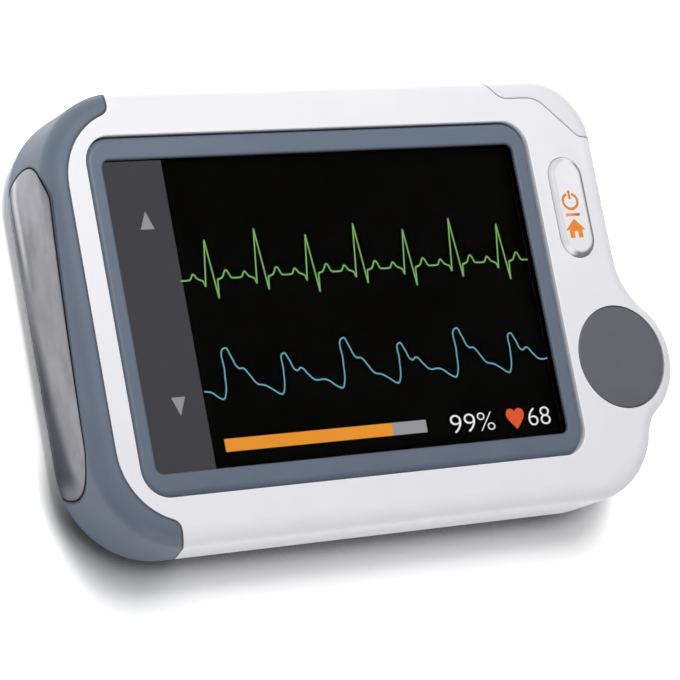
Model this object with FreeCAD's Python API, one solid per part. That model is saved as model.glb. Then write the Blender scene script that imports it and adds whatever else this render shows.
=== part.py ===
"""Hand-held heart monitor with a touch screen, a home button and finger electrodes.

It lies on its back, with the screen up. X runs to the right of the screen, Y to its top and Z out of it.
The origin is on the table, under the middle of the case. All lengths are in millimetres.
"""

import FreeCAD, Part
import math
import os

# ---- Case: what it adds round the screen's bezel ----
WINDOW_WIDTH = 60.5
WINDOW_HEIGHT = 38.5
BEZEL_SIDE = 2.35  # bezel's width beside the window
BEZEL_END = 2.95  # and above and below it
LEFT_MARGIN = 5.6  # bezel to the left end
RIGHT_MARGIN = 17.2  # bezel to the tip of the thumb lobe
TOP_MARGIN = 5.9
BOTTOM_MARGIN = 6.0
LEFT_CORNER_R = 12.0
TOP_RIGHT_R = 8.6
BOTTOM_RIGHT_R = 10.7
LOBE_R = 9.1  # round lobe that carries the thumb electrode
LOBE_UP = 18.1  # above the bottom side
SHOULDER_IN = 6.0  # the right side above the lobe lies this far inside the lobe's tip
HIP_IN = 5.5  # and the corner below the lobe this far
UPPER_NECK_R = 9.0
LOWER_NECK_R = 5.0
FRONT_EDGE_R = 2.4
REAR_EDGE_R = 3.0
WALL = 1.4
BACKING_WALL = 1.2  # case wall behind the bumper and the corner cap
SEAM_DEPTH = 0.06
SEAM_WIDTH = 0.08
LIP_HEIGHT = 0.8  # tongue of the rear cover inside the front one
LIP_CLEARANCE = 0.08

# ---- Bumper and corner cap, let into the case ----
SKIN = 1.3
SKIN_GAP = 0.1
BUMPER_MARGIN = 2.7  # width of the band that shows on the front
BUMPER_REACH = 9.6  # from the left end to the bumper's tips, on the front
BUMPER_LEAN = 5.2  # and this much further on the back
BUMPER_TIP_R = 1.3
CAP_BAND = 2.85  # drop of the cap's inner line below the top side
CAP_LENGTH = 16.4  # left from the right side, at the top side
CAP_SLANT = 2.0  # run of the slanted end
CAP_CORNER_IN = 8.6  # left from the right side, where the line turns down
CAP_CORNER_DOWN = 8.4  # down from the top side, where the line meets the right band
CAP_HEIGHT = 8.7
CAP_FOOT_R = 2.4
CAP_TURN_R = 4.0
CAP_SIDE_R = 1.7

# ---- Screen ----
BEZEL_R = 3.6
BEZEL_DROP = 0.4  # below the front face
BEZEL_GAP = 0.1
BEZEL_LIP = 0.45
BEZEL_FLANGE = 1.2
BEZEL_FLANGE_DEPTH = 0.9
BEZEL_ROUND = 0.8  # along its outside
BEZEL_INNER_ROUND = 0.3
WINDOW_R = 1.0
OPENING_ROUND = 0.12
GLASS_THICK = 1.2
GLASS_LAP = 1.0  # glass hidden under the bezel's lip
GLASS_GAP = 0.1
GASKET_THICK = 0.3
GASKET_SHOW = 0.2  # gasket starts this far outside the window
PANEL_THICK = 1.4
BACKLIGHT_THICK = 1.3
PANEL_LAP = 0.8
FRAME_FLOOR = 0.6
FRAME_WALL = 0.8
FRAME_GAP = 0.1
FRAME_LEG = 0.5
FRAME_LEG_R = 1.2
FLEX_HALF = 5.0  # half the display ribbon's width
FLEX_THICK = 0.15
FLEX_LOW = 0.3  # lower run above the board
FLEX_CLEAR = 1.2  # connector to the ribbon's turn
FLEX_SLOT_GAP = 0.5
FLEX_CONNECTOR_GAP = 0.4  # right of the inner frame
FLEX_CONNECTOR_LENGTH = 2.8
FLEX_CONNECTOR_HEIGHT = 1.0
FLEX_CONNECTOR_SIDE = 0.8

# ---- Main board ----
BOARD_THICK = 0.8
BOARD_CLEAR = 0.55  # above the battery
BOARD_MARGIN = 2.9
BOARD_LEFT = 3.6
CHIP_IN = 25.5  # left from the shoulder
CHIP_THICK = 0.9
PROCESSOR_Y = -2.0
PROCESSOR_SIZE = 8.0
MEMORY_Y = 7.5
MEMORY_LENGTH = 7.0
MEMORY_WIDTH = 6.0
SHIELD_IN = 20.5  # left from the shoulder
SHIELD_UP = 9.0  # above the bottom side
SHIELD_LENGTH = 10.0
SHIELD_WIDTH = 5.0
SHIELD_THICK = 1.3
SHIELD_ROUND = 0.3
SMALL_PART_COUNT = 4
SMALL_PART_PITCH = 1.8
SMALL_PART_LENGTH = 1.0
SMALL_PART_WIDTH = 0.6
SMALL_PART_THICK = 0.5
SMALL_PART_OFF = 1.4  # from the processor's side
CRYSTAL_LENGTH = 3.2
CRYSTAL_WIDTH = 1.6
CRYSTAL_THICK = 0.8

# ---- Home button and its switch ----
BUTTON_IN = 6.35  # left from the shoulder
BUTTON_DOWN = 17.9  # below the top side
BUTTON_WIDTH = 5.3
BUTTON_LENGTH = 13.5
BUTTON_RISE = 0.45
BUTTON_ROUND = 0.6
BUTTON_GAP = 0.06
BUTTON_OPENING_ROUND = 0.1
BUTTON_FLANGE = 0.7
BUTTON_FLANGE_THICK = 0.6
BUTTON_FLANGE_GAP = 0.15
BUTTON_STEM_R = 1.2
BUTTON_TRAVEL = 0.35
SWITCH_SIZE = 5.2
SWITCH_LID = 0.35
SWITCH_FLOOR = 0.45
SWITCH_CAVITY_R = 1.9
PLUNGER_R = 1.0
PLUNGER_FLANGE_R = 1.5
PLUNGER_FLANGE_THICK = 0.2
PLUNGER_RISE = 0.45
PLUNGER_GAP = 0.05
STEM_GAP = 0.05
DOME_R = 1.6
DOME_THICK = 0.08
DOME_REST = 0.2  # room left under the pressed plunger

# ---- Electrodes ----
THUMB_R = 6.8
THUMB_THICK = 0.9
THUMB_DROP = 0.1
THUMB_GAP = 0.08
THUMB_SEAT = 1.1
THUMB_SEAT_RIM = 0.8
ELECTRODE_ROUND = 0.25
POST_R = 1.0
POST_GAP = 0.1
SIDE_LENGTH = 40.2
SIDE_WIDTH = 10.8
SIDE_BACK = 0.8  # back face below the bumper's skin
SIDE_WRAP = 1.5  # the plate follows the case round its rear edge this far in
SIDE_Z = 5.8
SIDE_TILT = 2.5  # degrees that the plate leans: its lower end lies nearer the back
SIDE_GAP = 0.2
SIDE_POST_RISE = 2.8  # post above the middle of the plate
SIDE_POST_SHOWS = 0.6  # inside the case
REAR_PLATE_LENGTH = 20.0
REAR_PLATE_WIDTH = 10.0
REAR_PLATE_THICK = 0.8
REAR_PLATE_DROP = 0.1
REAR_PLATE_IN = 18.5  # left from the lobe's tip
REAR_PLATE_UP = 18.5  # above the bottom side
REAR_SEAT = 1.2
PLATE_GAP = 0.1
PIN_R = 0.9
PIN_TIP_R = 0.55
PIN_TIP = 1.0
PIN_LENGTH = 2.75  # board to the electrode's post
LEAF_WIDTH = 2.4
LEAF_THICK = 0.2
LEAF_FOOT = 1.6

# ---- Finger groove and oxygen sensor in the back ----
GROOVE_R = 11.0
GROOVE_DEPTH = 1.3
GROOVE_DOWN = 18.0  # below the top side
GROOVE_START = 18.0  # left from the shoulder
GROOVE_WALL = 1.3
SENSOR_IN = 11.5  # left from the shoulder
LENS_LENGTH = 8.0
LENS_WIDTH = 5.0
LENS_THICK = 0.8
LENS_LAP = 0.5
LENS_GAP = 0.1
LENS_DROP = 0.3
SEAT_MARGIN = 1.0  # flat seats reach this far round what they carry
SENSOR_BOARD_LENGTH = 12.0
SENSOR_BOARD_WIDTH = 8.0
SENSOR_BOARD_THICK = 0.6
SENSOR_CHIP = 1.6
SENSOR_SPACING = 4.0
SENSOR_PLUG_LENGTH = 5.0
SENSOR_PLUG_WIDTH = 2.4

# ---- Temperature sensor in the corner cap ----
PROBE_R = 2.3
PROBE_LENGTH = 3.6
PROBE_DROP = 0.5
PROBE_BRIM_R = 2.7
PROBE_BRIM = 0.4
PROBE_WINDOW_R = 1.2
PROBE_WINDOW_DEPTH = 0.3
SLEEVE = 0.4
SLEEVE_GAP = 0.1

# ---- Battery, speaker, port and screws ----
BATTERY_WIDTH = 30.0
BATTERY_THICK = 3.8
BATTERY_LEFT_IN = 7.0  # right from the left end
BATTERY_RIGHT_IN = 37.0  # left from the shoulder
BATTERY_ROUND = 1.2
TAPE_THICK = 0.3
TAPE_MARGIN = 3.0
FENCE_GAP = 0.4
FENCE_THICK = 0.8
FENCE_HEIGHT = 2.4
LEAD_R = 0.45
LEAD_SPACING = 1.3
LEAD_SPAN = 3.0
LEAD_Y = 8.0
LEAD_PASSAGE = 1.0  # gap in the battery's fence beside each lead
LEAD_BEND = 0.45  # share of a straight run that each bend takes
PLUG_LENGTH = 3.0
PLUG_WIDTH = 4.2
PLUG_HEIGHT = 2.4
SPEAKER_R = 6.0
SPEAKER_THICK = 2.8
SPEAKER_IN = 29.0  # left from the shoulder
SPEAKER_UP = 11.0  # above the bottom side
SPEAKER_ROUND = 0.4
SPEAKER_PIN_OFF = 2.0
SPEAKER_GASKET = 0.3
SPEAKER_GASKET_WIDTH = 1.0
GRILLE_HOLE_R = 0.5
GRILLE_PITCH = 1.9
GRILLE_COUNT = 6
PORT_IN = 32.0  # left from the shoulder
PORT_WIDTH = 7.6
PORT_HEIGHT = 2.6
PORT_LENGTH = 5.2
PORT_SHELL = 0.3
PORT_GAP = 0.15
PORT_DROP = 0.6  # mouth of the port inside the case's top side
PORT_TONGUE = 0.7
SCREW_LEFT = 13.0  # right from the left end
SCREW_RIGHT_TOP = 18.5  # left from the shoulder
SCREW_RIGHT_BOTTOM = 12.0
SCREW_IN = 4.7  # in from the top and bottom sides
SCREW_R = 0.9
SCREW_HEAD_R = 1.5
SCREW_HEAD = 1.0
SCREW_HEAD_DROP = 0.3
SCREW_HEAD_ROUND = 0.25
SCREW_BITE = 2.8
SCREW_SOCKET_R = 0.75
SCREW_SOCKET = 0.6
SCREW_GAP = 0.15
BOSS_WALL = 1.0
BOSS_RIB = 2.0

# ---- Worked out from the above ----
BEZEL_WIDTH = WINDOW_WIDTH + 2 * BEZEL_SIDE
BEZEL_HEIGHT = WINDOW_HEIGHT + 2 * BEZEL_END
CASE_WIDTH = LEFT_MARGIN + BEZEL_WIDTH + RIGHT_MARGIN
CASE_HEIGHT = TOP_MARGIN + BEZEL_HEIGHT + BOTTOM_MARGIN
LEFT = -CASE_WIDTH / 2
RIGHT = CASE_WIDTH / 2
TOP = CASE_HEIGHT / 2
SHOULDER = RIGHT - SHOULDER_IN
LOBE_X = RIGHT - LOBE_R
LOBE_Y = LOBE_UP - TOP
SCREEN_X = LEFT + LEFT_MARGIN + BEZEL_WIDTH / 2
BEZEL_Y = TOP - TOP_MARGIN - BEZEL_HEIGHT / 2
OUTSIDE = 6.0  # how far cutting bodies reach past the case
TOUCHING = 1e-3  # nearer than this counts as the same place

BATTERY_BOTTOM = WALL + TAPE_THICK
BATTERY_TOP = BATTERY_BOTTOM + BATTERY_THICK
BOARD_BOTTOM = BATTERY_TOP + BOARD_CLEAR
BOARD_TOP = BOARD_BOTTOM + BOARD_THICK
FRAME_BOTTOM = BOARD_TOP + FRAME_LEG
BACKLIGHT_BOTTOM = FRAME_BOTTOM + FRAME_FLOOR
PANEL_BOTTOM = BACKLIGHT_BOTTOM + BACKLIGHT_THICK
PANEL_TOP = PANEL_BOTTOM + PANEL_THICK
GLASS_BOTTOM = PANEL_TOP + GASKET_THICK
GLASS_TOP = GLASS_BOTTOM + GLASS_THICK
BEZEL_TOP = GLASS_TOP + BEZEL_LIP
CASE_DEPTH = BEZEL_TOP + BEZEL_DROP
INNER_TOP = CASE_DEPTH - WALL
FRAME_TOP = INNER_TOP - BEZEL_FLANGE_DEPTH
PANEL_WIDTH = WINDOW_WIDTH + 2 * PANEL_LAP
PANEL_HEIGHT = WINDOW_HEIGHT + 2 * PANEL_LAP
PANEL_RIGHT = SCREEN_X + PANEL_WIDTH / 2
FRAME_RIGHT = PANEL_RIGHT + FRAME_GAP + FRAME_WALL
FLEX_CONNECTOR_X = FRAME_RIGHT + FLEX_CONNECTOR_GAP
SPLIT_Z = BOARD_TOP  # where the two covers meet
CHIP_X = SHOULDER - CHIP_IN
SHIELD_X = SHOULDER - SHIELD_IN
SHIELD_Y = SHIELD_UP - TOP
BUTTON_X = SHOULDER - BUTTON_IN
BUTTON_Y = TOP - BUTTON_DOWN
SENSOR_X = SHOULDER - SENSOR_IN
GROOVE_Y = TOP - GROOVE_DOWN
REAR_PLATE_X = RIGHT - REAR_PLATE_IN
REAR_PLATE_Y = REAR_PLATE_UP - TOP
BATTERY_LEFT = LEFT + BATTERY_LEFT_IN
BATTERY_RIGHT = SHOULDER - BATTERY_RIGHT_IN
BATTERY_LENGTH = BATTERY_RIGHT - BATTERY_LEFT
BATTERY_MIDDLE = BATTERY_BOTTOM + BATTERY_THICK / 2
PLUG_X = BATTERY_RIGHT + LEAD_SPAN
SPEAKER_X = SHOULDER - SPEAKER_IN
SPEAKER_Y = SPEAKER_UP - TOP
PORT_X = SHOULDER - PORT_IN
CAVITY_BOTTOM = BOARD_TOP + SWITCH_FLOOR
PLUNGER_BOTTOM = CAVITY_BOTTOM + DOME_REST + BUTTON_TRAVEL
PLUNGER_FLANGE_TOP = PLUNGER_BOTTOM + PLUNGER_FLANGE_THICK
SWITCH_TOP = PLUNGER_FLANGE_TOP + PLUNGER_GAP + SWITCH_LID
PLUNGER_TOP = SWITCH_TOP + PLUNGER_RISE
SCREW_SEAT = SCREW_HEAD_DROP + SCREW_HEAD
BOSS_R = SCREW_HEAD_R + SCREW_GAP + BOSS_WALL
FRONT_BOSS_R = SCREW_R + BOSS_WALL
SCREWS = [
    (LEFT + SCREW_LEFT, TOP - SCREW_IN),
    (LEFT + SCREW_LEFT, SCREW_IN - TOP),
    (SHOULDER - SCREW_RIGHT_TOP, TOP - SCREW_IN),
    (SHOULDER - SCREW_RIGHT_BOTTOM, SCREW_IN - TOP),
]
PORT_MIDDLE = BOARD_BOTTOM - PORT_HEIGHT / 2
LENS_BOTTOM = GROOVE_DEPTH + LENS_DROP
SENSOR_SEAT = GROOVE_DEPTH + GROOVE_WALL
THUMB_BOTTOM = CASE_DEPTH - THUMB_DROP - THUMB_THICK
THUMB_SEAT_R = THUMB_R + THUMB_SEAT_RIM
THUMB_POST_END = BOARD_TOP + PIN_LENGTH
REAR_POST_END = BOARD_BOTTOM - PIN_LENGTH
SIDE_POST_X = LEFT + SKIN + SKIN_GAP + BACKING_WALL + SIDE_POST_SHOWS


# ---- Drawing helpers ----
def at(x, y, z=0.0):
    return FreeCAD.Vector(x, y, z)


def block(x0, x1, y0, y1, z0, z1):
    return Part.makeBox(x1 - x0, y1 - y0, z1 - z0, at(x0, y0, z0))


def rod(x, y, z0, z1, radius):
    return Part.makeCylinder(radius, z1 - z0, at(x, y, z0))


def prism(wire, z0, z1):
    """Solid between z0 and z1 over a closed flat wire drawn at z = 0."""
    face = Part.Face(wire)
    face.translate(at(0, 0, z0))
    return face.extrude(at(0, 0, z1 - z0))


def belt(circles):
    """Closed wire round a counterclockwise loop of circles (x, y, radius, side).

    The wire bends round a circle of side 1, and hollows in round one of side -1.
    """
    joins = []
    for (ax, ay, ar, a_side), (bx, by, br, b_side) in zip(circles, circles[1:] + circles[:1]):
        start, end = at(ax, ay), at(bx, by)
        along = end - start
        span = along.Length
        along.normalize()
        across = at(along.y, -along.x)
        sine = (a_side * ar - b_side * br) / span
        normal = along * sine + across * math.sqrt(max(0.0, 1 - sine * sine))
        leave, meet = start + normal * (a_side * ar), end + normal * (b_side * br)
        if leave.distanceToPoint(meet) < TOUCHING:
            meet = leave
        joins.append((leave, meet, normal))
    edges = []
    for i, (x, y, radius, side) in enumerate(circles):
        _, arc_start, before = joins[i - 1]
        arc_end, line_end, after = joins[i]
        first, last = math.atan2(before.y, before.x), math.atan2(after.y, after.x)
        angle = first + side * (side * (last - first) % (2 * math.pi)) / 2
        arc_middle = at(x, y) + at(math.cos(angle), math.sin(angle)) * (side * radius)
        edges.append(Part.Arc(arc_start, arc_middle, arc_end).toShape())
        if arc_end != line_end:
            edges.append(Part.LineSegment(arc_end, line_end).toShape())
    return Part.Wire(edges)


def round_corners(x, y, width, height, radius):
    """Wire of a rectangle with round corners, about a centre."""
    dx, dy = width / 2 - radius, height / 2 - radius
    return belt([(x + i * dx, y + j * dy, radius, 1) for i, j in ((-1, -1), (1, -1), (1, 1), (-1, 1))])


def slot(x, y, length_x, length_y):
    """Wire of a slot with round ends, about a centre."""
    radius = min(length_x, length_y) / 2
    dx, dy = length_x / 2 - radius, length_y / 2 - radius
    return belt([(x - dx, y - dy, radius, 1), (x + dx, y + dy, radius, 1)])


def edges_at(shape, z):
    """Edges of a shape that lie wholly at one height."""
    boxes = [(e, e.BoundBox) for e in shape.Edges]
    return [e for e, box in boxes if abs(box.ZMin - z) < TOUCHING and abs(box.ZMax - z) < TOUCHING]


def rounded_top(shape, z, radius):
    return shape.makeFillet(radius, edges_at(shape, z))


def joined(first, *others):
    return first.fuse(list(others)).removeSplitter()


def without(shape, *tools):
    return shape.cut(list(tools))


# ---- Case shape ----
def hollow_beside(circle, line_x, radius):
    """Circle that hollows in between a circle and the upright line above it."""
    x, y, r, _ = circle
    centre_x = line_x + radius
    rise = math.sqrt((r + radius) ** 2 - (centre_x - x) ** 2)
    return (centre_x, y + rise, radius, -1)


def hollow_between(lower, upper, radius):
    """Circle that hollows in between two circles, on the right of the way from lower to upper."""
    start = at(lower[0], lower[1])
    along = at(upper[0], upper[1]) - start
    span = along.Length
    along.normalize()
    across = at(along.y, -along.x)
    near, far = lower[2] + radius, upper[2] + radius
    run = (near**2 - far**2 + span**2) / (2 * span)
    centre = start + along * run + across * math.sqrt(near**2 - run**2)
    return (centre.x, centre.y, radius, -1)


def outline(inset):
    """Case outline, moved in by an inset."""
    lobe = (LOBE_X, LOBE_Y, LOBE_R, 1)
    hip = (RIGHT - HIP_IN - BOTTOM_RIGHT_R, BOTTOM_RIGHT_R - TOP, BOTTOM_RIGHT_R, 1)
    circles = [
        (LEFT + LEFT_CORNER_R, LEFT_CORNER_R - TOP, LEFT_CORNER_R, 1),
        hip,
        hollow_between(hip, lobe, LOWER_NECK_R),
        lobe,
        hollow_beside(lobe, SHOULDER, UPPER_NECK_R),
        (SHOULDER - TOP_RIGHT_R, TOP - TOP_RIGHT_R, TOP_RIGHT_R, 1),
        (LEFT + LEFT_CORNER_R, TOP - LEFT_CORNER_R, LEFT_CORNER_R, 1),
    ]
    return belt([(x, y, r - side * inset, side) for x, y, r, side in circles])


def envelope(inset):
    """Whole case as one solid with round edges, moved in by an inset."""
    sharpest = 0.3
    body = prism(outline(inset), inset, CASE_DEPTH - inset)
    body = rounded_top(body, CASE_DEPTH - inset, max(FRONT_EDGE_R - inset, sharpest))
    return rounded_top(body, inset, max(REAR_EDGE_R - inset, sharpest))


def bumper_region(grow):
    """Where the left bumper is let in: a band round the left end, grown by some clearance."""
    tip = LEFT + BUMPER_REACH + grow
    slope = BUMPER_LEAN / CASE_DEPTH
    z0, z1 = -OUTSIDE, CASE_DEPTH + OUTSIDE
    x0, x1 = tip + slope * (CASE_DEPTH - z0), tip + slope * (CASE_DEPTH - z1)
    side = [(LEFT - OUTSIDE, z0), (x0, z0), (x1, z1), (LEFT - OUTSIDE, z1)]
    band = Part.Face(Part.makePolygon([at(x, -TOP - OUTSIDE, z) for x, z in side + side[:1]]))
    band = band.extrude(at(0, 2 * (TOP + OUTSIDE), 0))
    band = band.cut(prism(outline(BUMPER_MARGIN + grow), -OUTSIDE, CASE_DEPTH + OUTSIDE))
    boxes = [(e, e.BoundBox) for e in band.Edges if abs(e.BoundBox.YMin) < TOP]
    leaning = [e for e, box in boxes if box.ZLength > OUTSIDE and box.XLength > slope * OUTSIDE]
    return band.makeFillet(BUMPER_TIP_R, leaning)


def cap_region(grow):
    """Where the corner cap is let in, grown by some clearance."""
    points = [
        (SHOULDER - CAP_LENGTH - CAP_SLANT * OUTSIDE / CAP_BAND, TOP + OUTSIDE),
        (SHOULDER - CAP_LENGTH + CAP_SLANT, TOP - CAP_BAND),
        (SHOULDER - CAP_CORNER_IN, TOP - CAP_BAND),
        (SHOULDER - CAP_BAND, TOP - CAP_CORNER_DOWN),
        (SHOULDER + OUTSIDE, TOP - CAP_HEIGHT),
        (SHOULDER + OUTSIDE, TOP + OUTSIDE),
    ]
    shape = Part.Face(Part.makePolygon([at(x, y) for x, y in points + points[:1]]))
    shape = shape.extrude(at(0, 0, CASE_DEPTH + 2 * OUTSIDE))
    for (x, _), radius in zip(points[1:], (CAP_FOOT_R, CAP_TURN_R, CAP_SIDE_R)):
        upright = [e for e in shape.Edges if e.BoundBox.XLength < TOUCHING and e.BoundBox.YLength < TOUCHING]
        shape = shape.makeFillet(radius, [e for e in upright if abs(e.BoundBox.XMin - x) < TOUCHING])
    floor = [f for f in shape.Faces if f.BoundBox.ZMax < TOUCHING][0]
    if grow:
        floor = floor.makeOffset2D(grow)
    grown = floor.extrude(at(0, 0, CASE_DEPTH + 2 * OUTSIDE))
    grown.translate(at(0, 0, -OUTSIDE))
    return grown


def case_layer(depth):
    """Case without the let-in skin, as one solid, moved in by a depth of its wall."""
    behind_skin = SKIN + SKIN_GAP + depth * BACKING_WALL / WALL
    grow = SKIN_GAP + depth
    return joined(without(envelope(depth), bumper_region(grow), cap_region(grow)), envelope(behind_skin))


def slab(z0, z1):
    """Block that holds the whole case between two heights."""
    x, y = RIGHT + OUTSIDE, TOP + OUTSIDE
    return block(-x, x, -y, y, z0, z1)


def above(shape, z):
    return shape.common(slab(z, CASE_DEPTH + OUTSIDE))


def below(shape, z):
    return shape.common(slab(-OUTSIDE, z))


def seam_cutter():
    """Thin groove along the line where the two covers meet."""
    z0, z1 = SPLIT_Z - SEAM_WIDTH / 2, SPLIT_Z + SEAM_WIDTH / 2
    return prism(outline(-SEAM_DEPTH), z0, z1).cut(prism(outline(SEAM_DEPTH), z0, z1))


# ---- Places shared by neighbours ----
def probe_place(shape):
    """Turns a shape built along +Z from the corner's centre, so that it points out of the corner."""
    shape.rotate(at(0, 0, 0), at(0, 1, 0), 90)
    shape.rotate(at(0, 0, 0), at(0, 0, 1), 45)
    shape.translate(at(SHOULDER - TOP_RIGHT_R, TOP - TOP_RIGHT_R, CASE_DEPTH / 2))
    return shape


def probe_hole(radius):
    return probe_place(Part.makeCylinder(radius, TOP_RIGHT_R + OUTSIDE))


def side_post(radius, x1):
    """Round bar along X at the left electrode's post, from outside the case in to x1."""
    start = LEFT + SIDE_BACK
    return Part.makeCylinder(radius, x1 - start, at(start, 0, SIDE_Z + SIDE_POST_RISE), at(1, 0, 0))


def side_layer(body, grow):
    """Part of a body outside the left electrode's back, cut to the plate's slot grown by some clearance."""
    window = prism(slot(0, 0, SIDE_WIDTH + 2 * grow, SIDE_LENGTH + 2 * grow), 0, LEFT_CORNER_R)
    window.rotate(at(0, 0, 0), at(0, 1, 0), 90)
    window.rotate(at(0, 0, 0), at(1, 0, 0), SIDE_TILT)
    window.translate(at(LEFT - SKIN, 0, SIDE_Z))
    inside = prism(outline(SIDE_WRAP + grow), 0, CASE_DEPTH)
    return without(body.common(window), envelope(SIDE_BACK), inside)


def side_pocket():
    """Space in the bumper for the left electrode, open to the outside."""
    return side_layer(prism(outline(-SKIN), 0, CASE_DEPTH), SIDE_GAP)


def groove(radius):
    """Finger groove in the back: a trough that starts round and runs out of the right side."""
    axis_z = GROOVE_DEPTH - GROOVE_R
    start = SHOULDER - GROOVE_START
    end = at(start, GROOVE_Y, axis_z)
    trough = Part.makeCylinder(radius, GROOVE_START + SHOULDER_IN + OUTSIDE, end, at(1, 0, 0))
    return trough.fuse(Part.makeSphere(radius, end))


def port_room(grow, reach=0.0):
    """Body of the port's outside, grown by a clearance, from its mouth inwards and out by a reach."""
    body = prism(slot(0, 0, PORT_WIDTH + 2 * grow, PORT_HEIGHT + 2 * grow), -reach, PORT_LENGTH)
    body.rotate(at(0, 0, 0), at(1, 0, 0), 90)
    body.translate(at(PORT_X, TOP - PORT_DROP, PORT_MIDDLE))
    return body


# ---- Covers ----
def front_cover():
    cover = above(case_layer(0), SPLIT_Z).cut(case_layer(WALL))
    tongue = case_layer(WALL / 2 - LIP_CLEARANCE)
    cover = without(cover, below(tongue, SPLIT_Z + LIP_HEIGHT + LIP_CLEARANCE), seam_cutter())
    inside = case_layer(WALL / 2)
    cover = joined(cover, *[part.common(inside) for part in [thumb_seat()] + front_bosses()])
    cover = without(cover, *front_openings())
    half_x, half_y = BEZEL_WIDTH / 2 + BEZEL_GAP, BEZEL_HEIGHT / 2 + BEZEL_GAP
    cover = rounded_within(cover, SCREEN_X, BEZEL_Y, half_x, half_y, OPENING_ROUND)
    half_x, half_y = BUTTON_WIDTH / 2 + 2 * BUTTON_GAP, BUTTON_LENGTH / 2 + 2 * BUTTON_GAP
    return rounded_within(cover, BUTTON_X, BUTTON_Y, half_x, half_y, BUTTON_OPENING_ROUND)


def rounded_within(cover, x, y, half_x, half_y, radius):
    """Rounds the cover's front edges round one opening."""
    centres = [(e, e.BoundBox.Center) for e in edges_at(cover, CASE_DEPTH)]
    edges = [e for e, c in centres if abs(c.x - x) < half_x and abs(c.y - y) < half_y]
    return cover.makeFillet(radius, edges)


def thumb_seat():
    return rod(LOBE_X, LOBE_Y, THUMB_BOTTOM - THUMB_SEAT, INNER_TOP, THUMB_SEAT_R)


def front_bosses():
    """Screw bosses of the front cover, each with a rib to the nearest side wall."""
    bosses = []
    for x, y in SCREWS:
        wall_y = math.copysign(TOP, y)
        y0, y1 = min(y, wall_y), max(y, wall_y)
        bosses.append(rod(x, y, BOARD_TOP, FRAME_TOP, FRONT_BOSS_R))
        half = BOSS_RIB / 2
        bosses.append(block(x - half, x + half, y0, y1, BOARD_TOP + 2 * LIP_HEIGHT, FRAME_TOP))
    return bosses


def front_openings():
    width, length = BUTTON_WIDTH + 2 * BUTTON_GAP, BUTTON_LENGTH + 2 * BUTTON_GAP
    openings = [
        screen_prism(BEZEL_WIDTH, BEZEL_HEIGHT, BEZEL_R, 0, CASE_DEPTH + OUTSIDE),
        prism(slot(BUTTON_X, BUTTON_Y, width, length), 0, CASE_DEPTH + OUTSIDE),
        rod(LOBE_X, LOBE_Y, THUMB_BOTTOM, CASE_DEPTH + OUTSIDE, THUMB_R + THUMB_GAP),
        rod(LOBE_X, LOBE_Y, 0, CASE_DEPTH, POST_R + POST_GAP),
        side_post(POST_R + POST_GAP, LEFT + OUTSIDE),
        probe_hole(PROBE_R + SLEEVE + SLEEVE_GAP),
    ]
    bores = [rod(x, y, 0, BOARD_TOP + SCREW_BITE + SCREW_GAP, SCREW_R) for x, y in SCREWS]
    return openings + bores


def rear_cover():
    cavity = case_layer(WALL)
    cover = below(case_layer(0), SPLIT_Z).cut(cavity)
    inside = case_layer(WALL / 2)
    tongue = above(below(inside, SPLIT_Z + LIP_HEIGHT), SPLIT_Z).cut(cavity)
    inside = below(inside, SPLIT_Z)
    cover = joined(cover, tongue, *[part.common(inside) for part in rear_seats()])
    return without(cover, seam_cutter(), groove(GROOVE_R), *rear_openings(), *screw_holes())


def rear_seats():
    """Bosses, seats and ribs that stand on the rear cover's floor."""
    z0 = WALL / 2
    bosses = [rod(x, y, z0, BOARD_BOTTOM, BOSS_R) for x, y in SCREWS]
    x, y = SENSOR_BOARD_LENGTH / 2 + SEAT_MARGIN, SENSOR_BOARD_WIDTH / 2 + SEAT_MARGIN
    sensor_seat = block(SENSOR_X - x, SENSOR_X + x, GROOVE_Y - y, GROOVE_Y + y, z0, SENSOR_SEAT)
    trough = below(groove(GROOVE_R + GROOVE_WALL), SENSOR_SEAT)
    length, width = REAR_PLATE_LENGTH + 2 * SEAT_MARGIN, REAR_PLATE_WIDTH + 2 * SEAT_MARGIN
    seat_top = REAR_PLATE_DROP + REAR_PLATE_THICK + REAR_SEAT
    plate_seat = prism(slot(REAR_PLATE_X, REAR_PLATE_Y, length, width), z0, seat_top)
    return bosses + [sensor_seat, trough, plate_seat, battery_fence()]


def rear_openings():
    mouth = slot(SENSOR_X, GROOVE_Y, LENS_LENGTH - 2 * LENS_LAP, LENS_WIDTH - 2 * LENS_LAP)
    bed = slot(SENSOR_X, GROOVE_Y, LENS_LENGTH + 2 * LENS_GAP, LENS_WIDTH + 2 * LENS_GAP)
    length, width = REAR_PLATE_LENGTH + 2 * PLATE_GAP, REAR_PLATE_WIDTH + 2 * PLATE_GAP
    recess = slot(REAR_PLATE_X, REAR_PLATE_Y, length, width)
    return [
        prism(mouth, 0, CASE_DEPTH),
        prism(bed, LENS_BOTTOM, CASE_DEPTH),
        prism(recess, -OUTSIDE, REAR_PLATE_DROP + REAR_PLATE_THICK),
        rod(REAR_PLATE_X, REAR_PLATE_Y, 0, CASE_DEPTH, POST_R + POST_GAP),
        port_room(PORT_GAP, OUTSIDE),
        side_post(POST_R + POST_GAP, LEFT + OUTSIDE),
        probe_hole(PROBE_R + SLEEVE + SLEEVE_GAP),
    ] + grille_holes()


def screw_holes():
    holes = [rod(x, y, -OUTSIDE, CASE_DEPTH, SCREW_R + SCREW_GAP) for x, y in SCREWS]
    return holes + [rod(x, y, -OUTSIDE, SCREW_SEAT, SCREW_HEAD_R + SCREW_GAP) for x, y in SCREWS]


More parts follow.
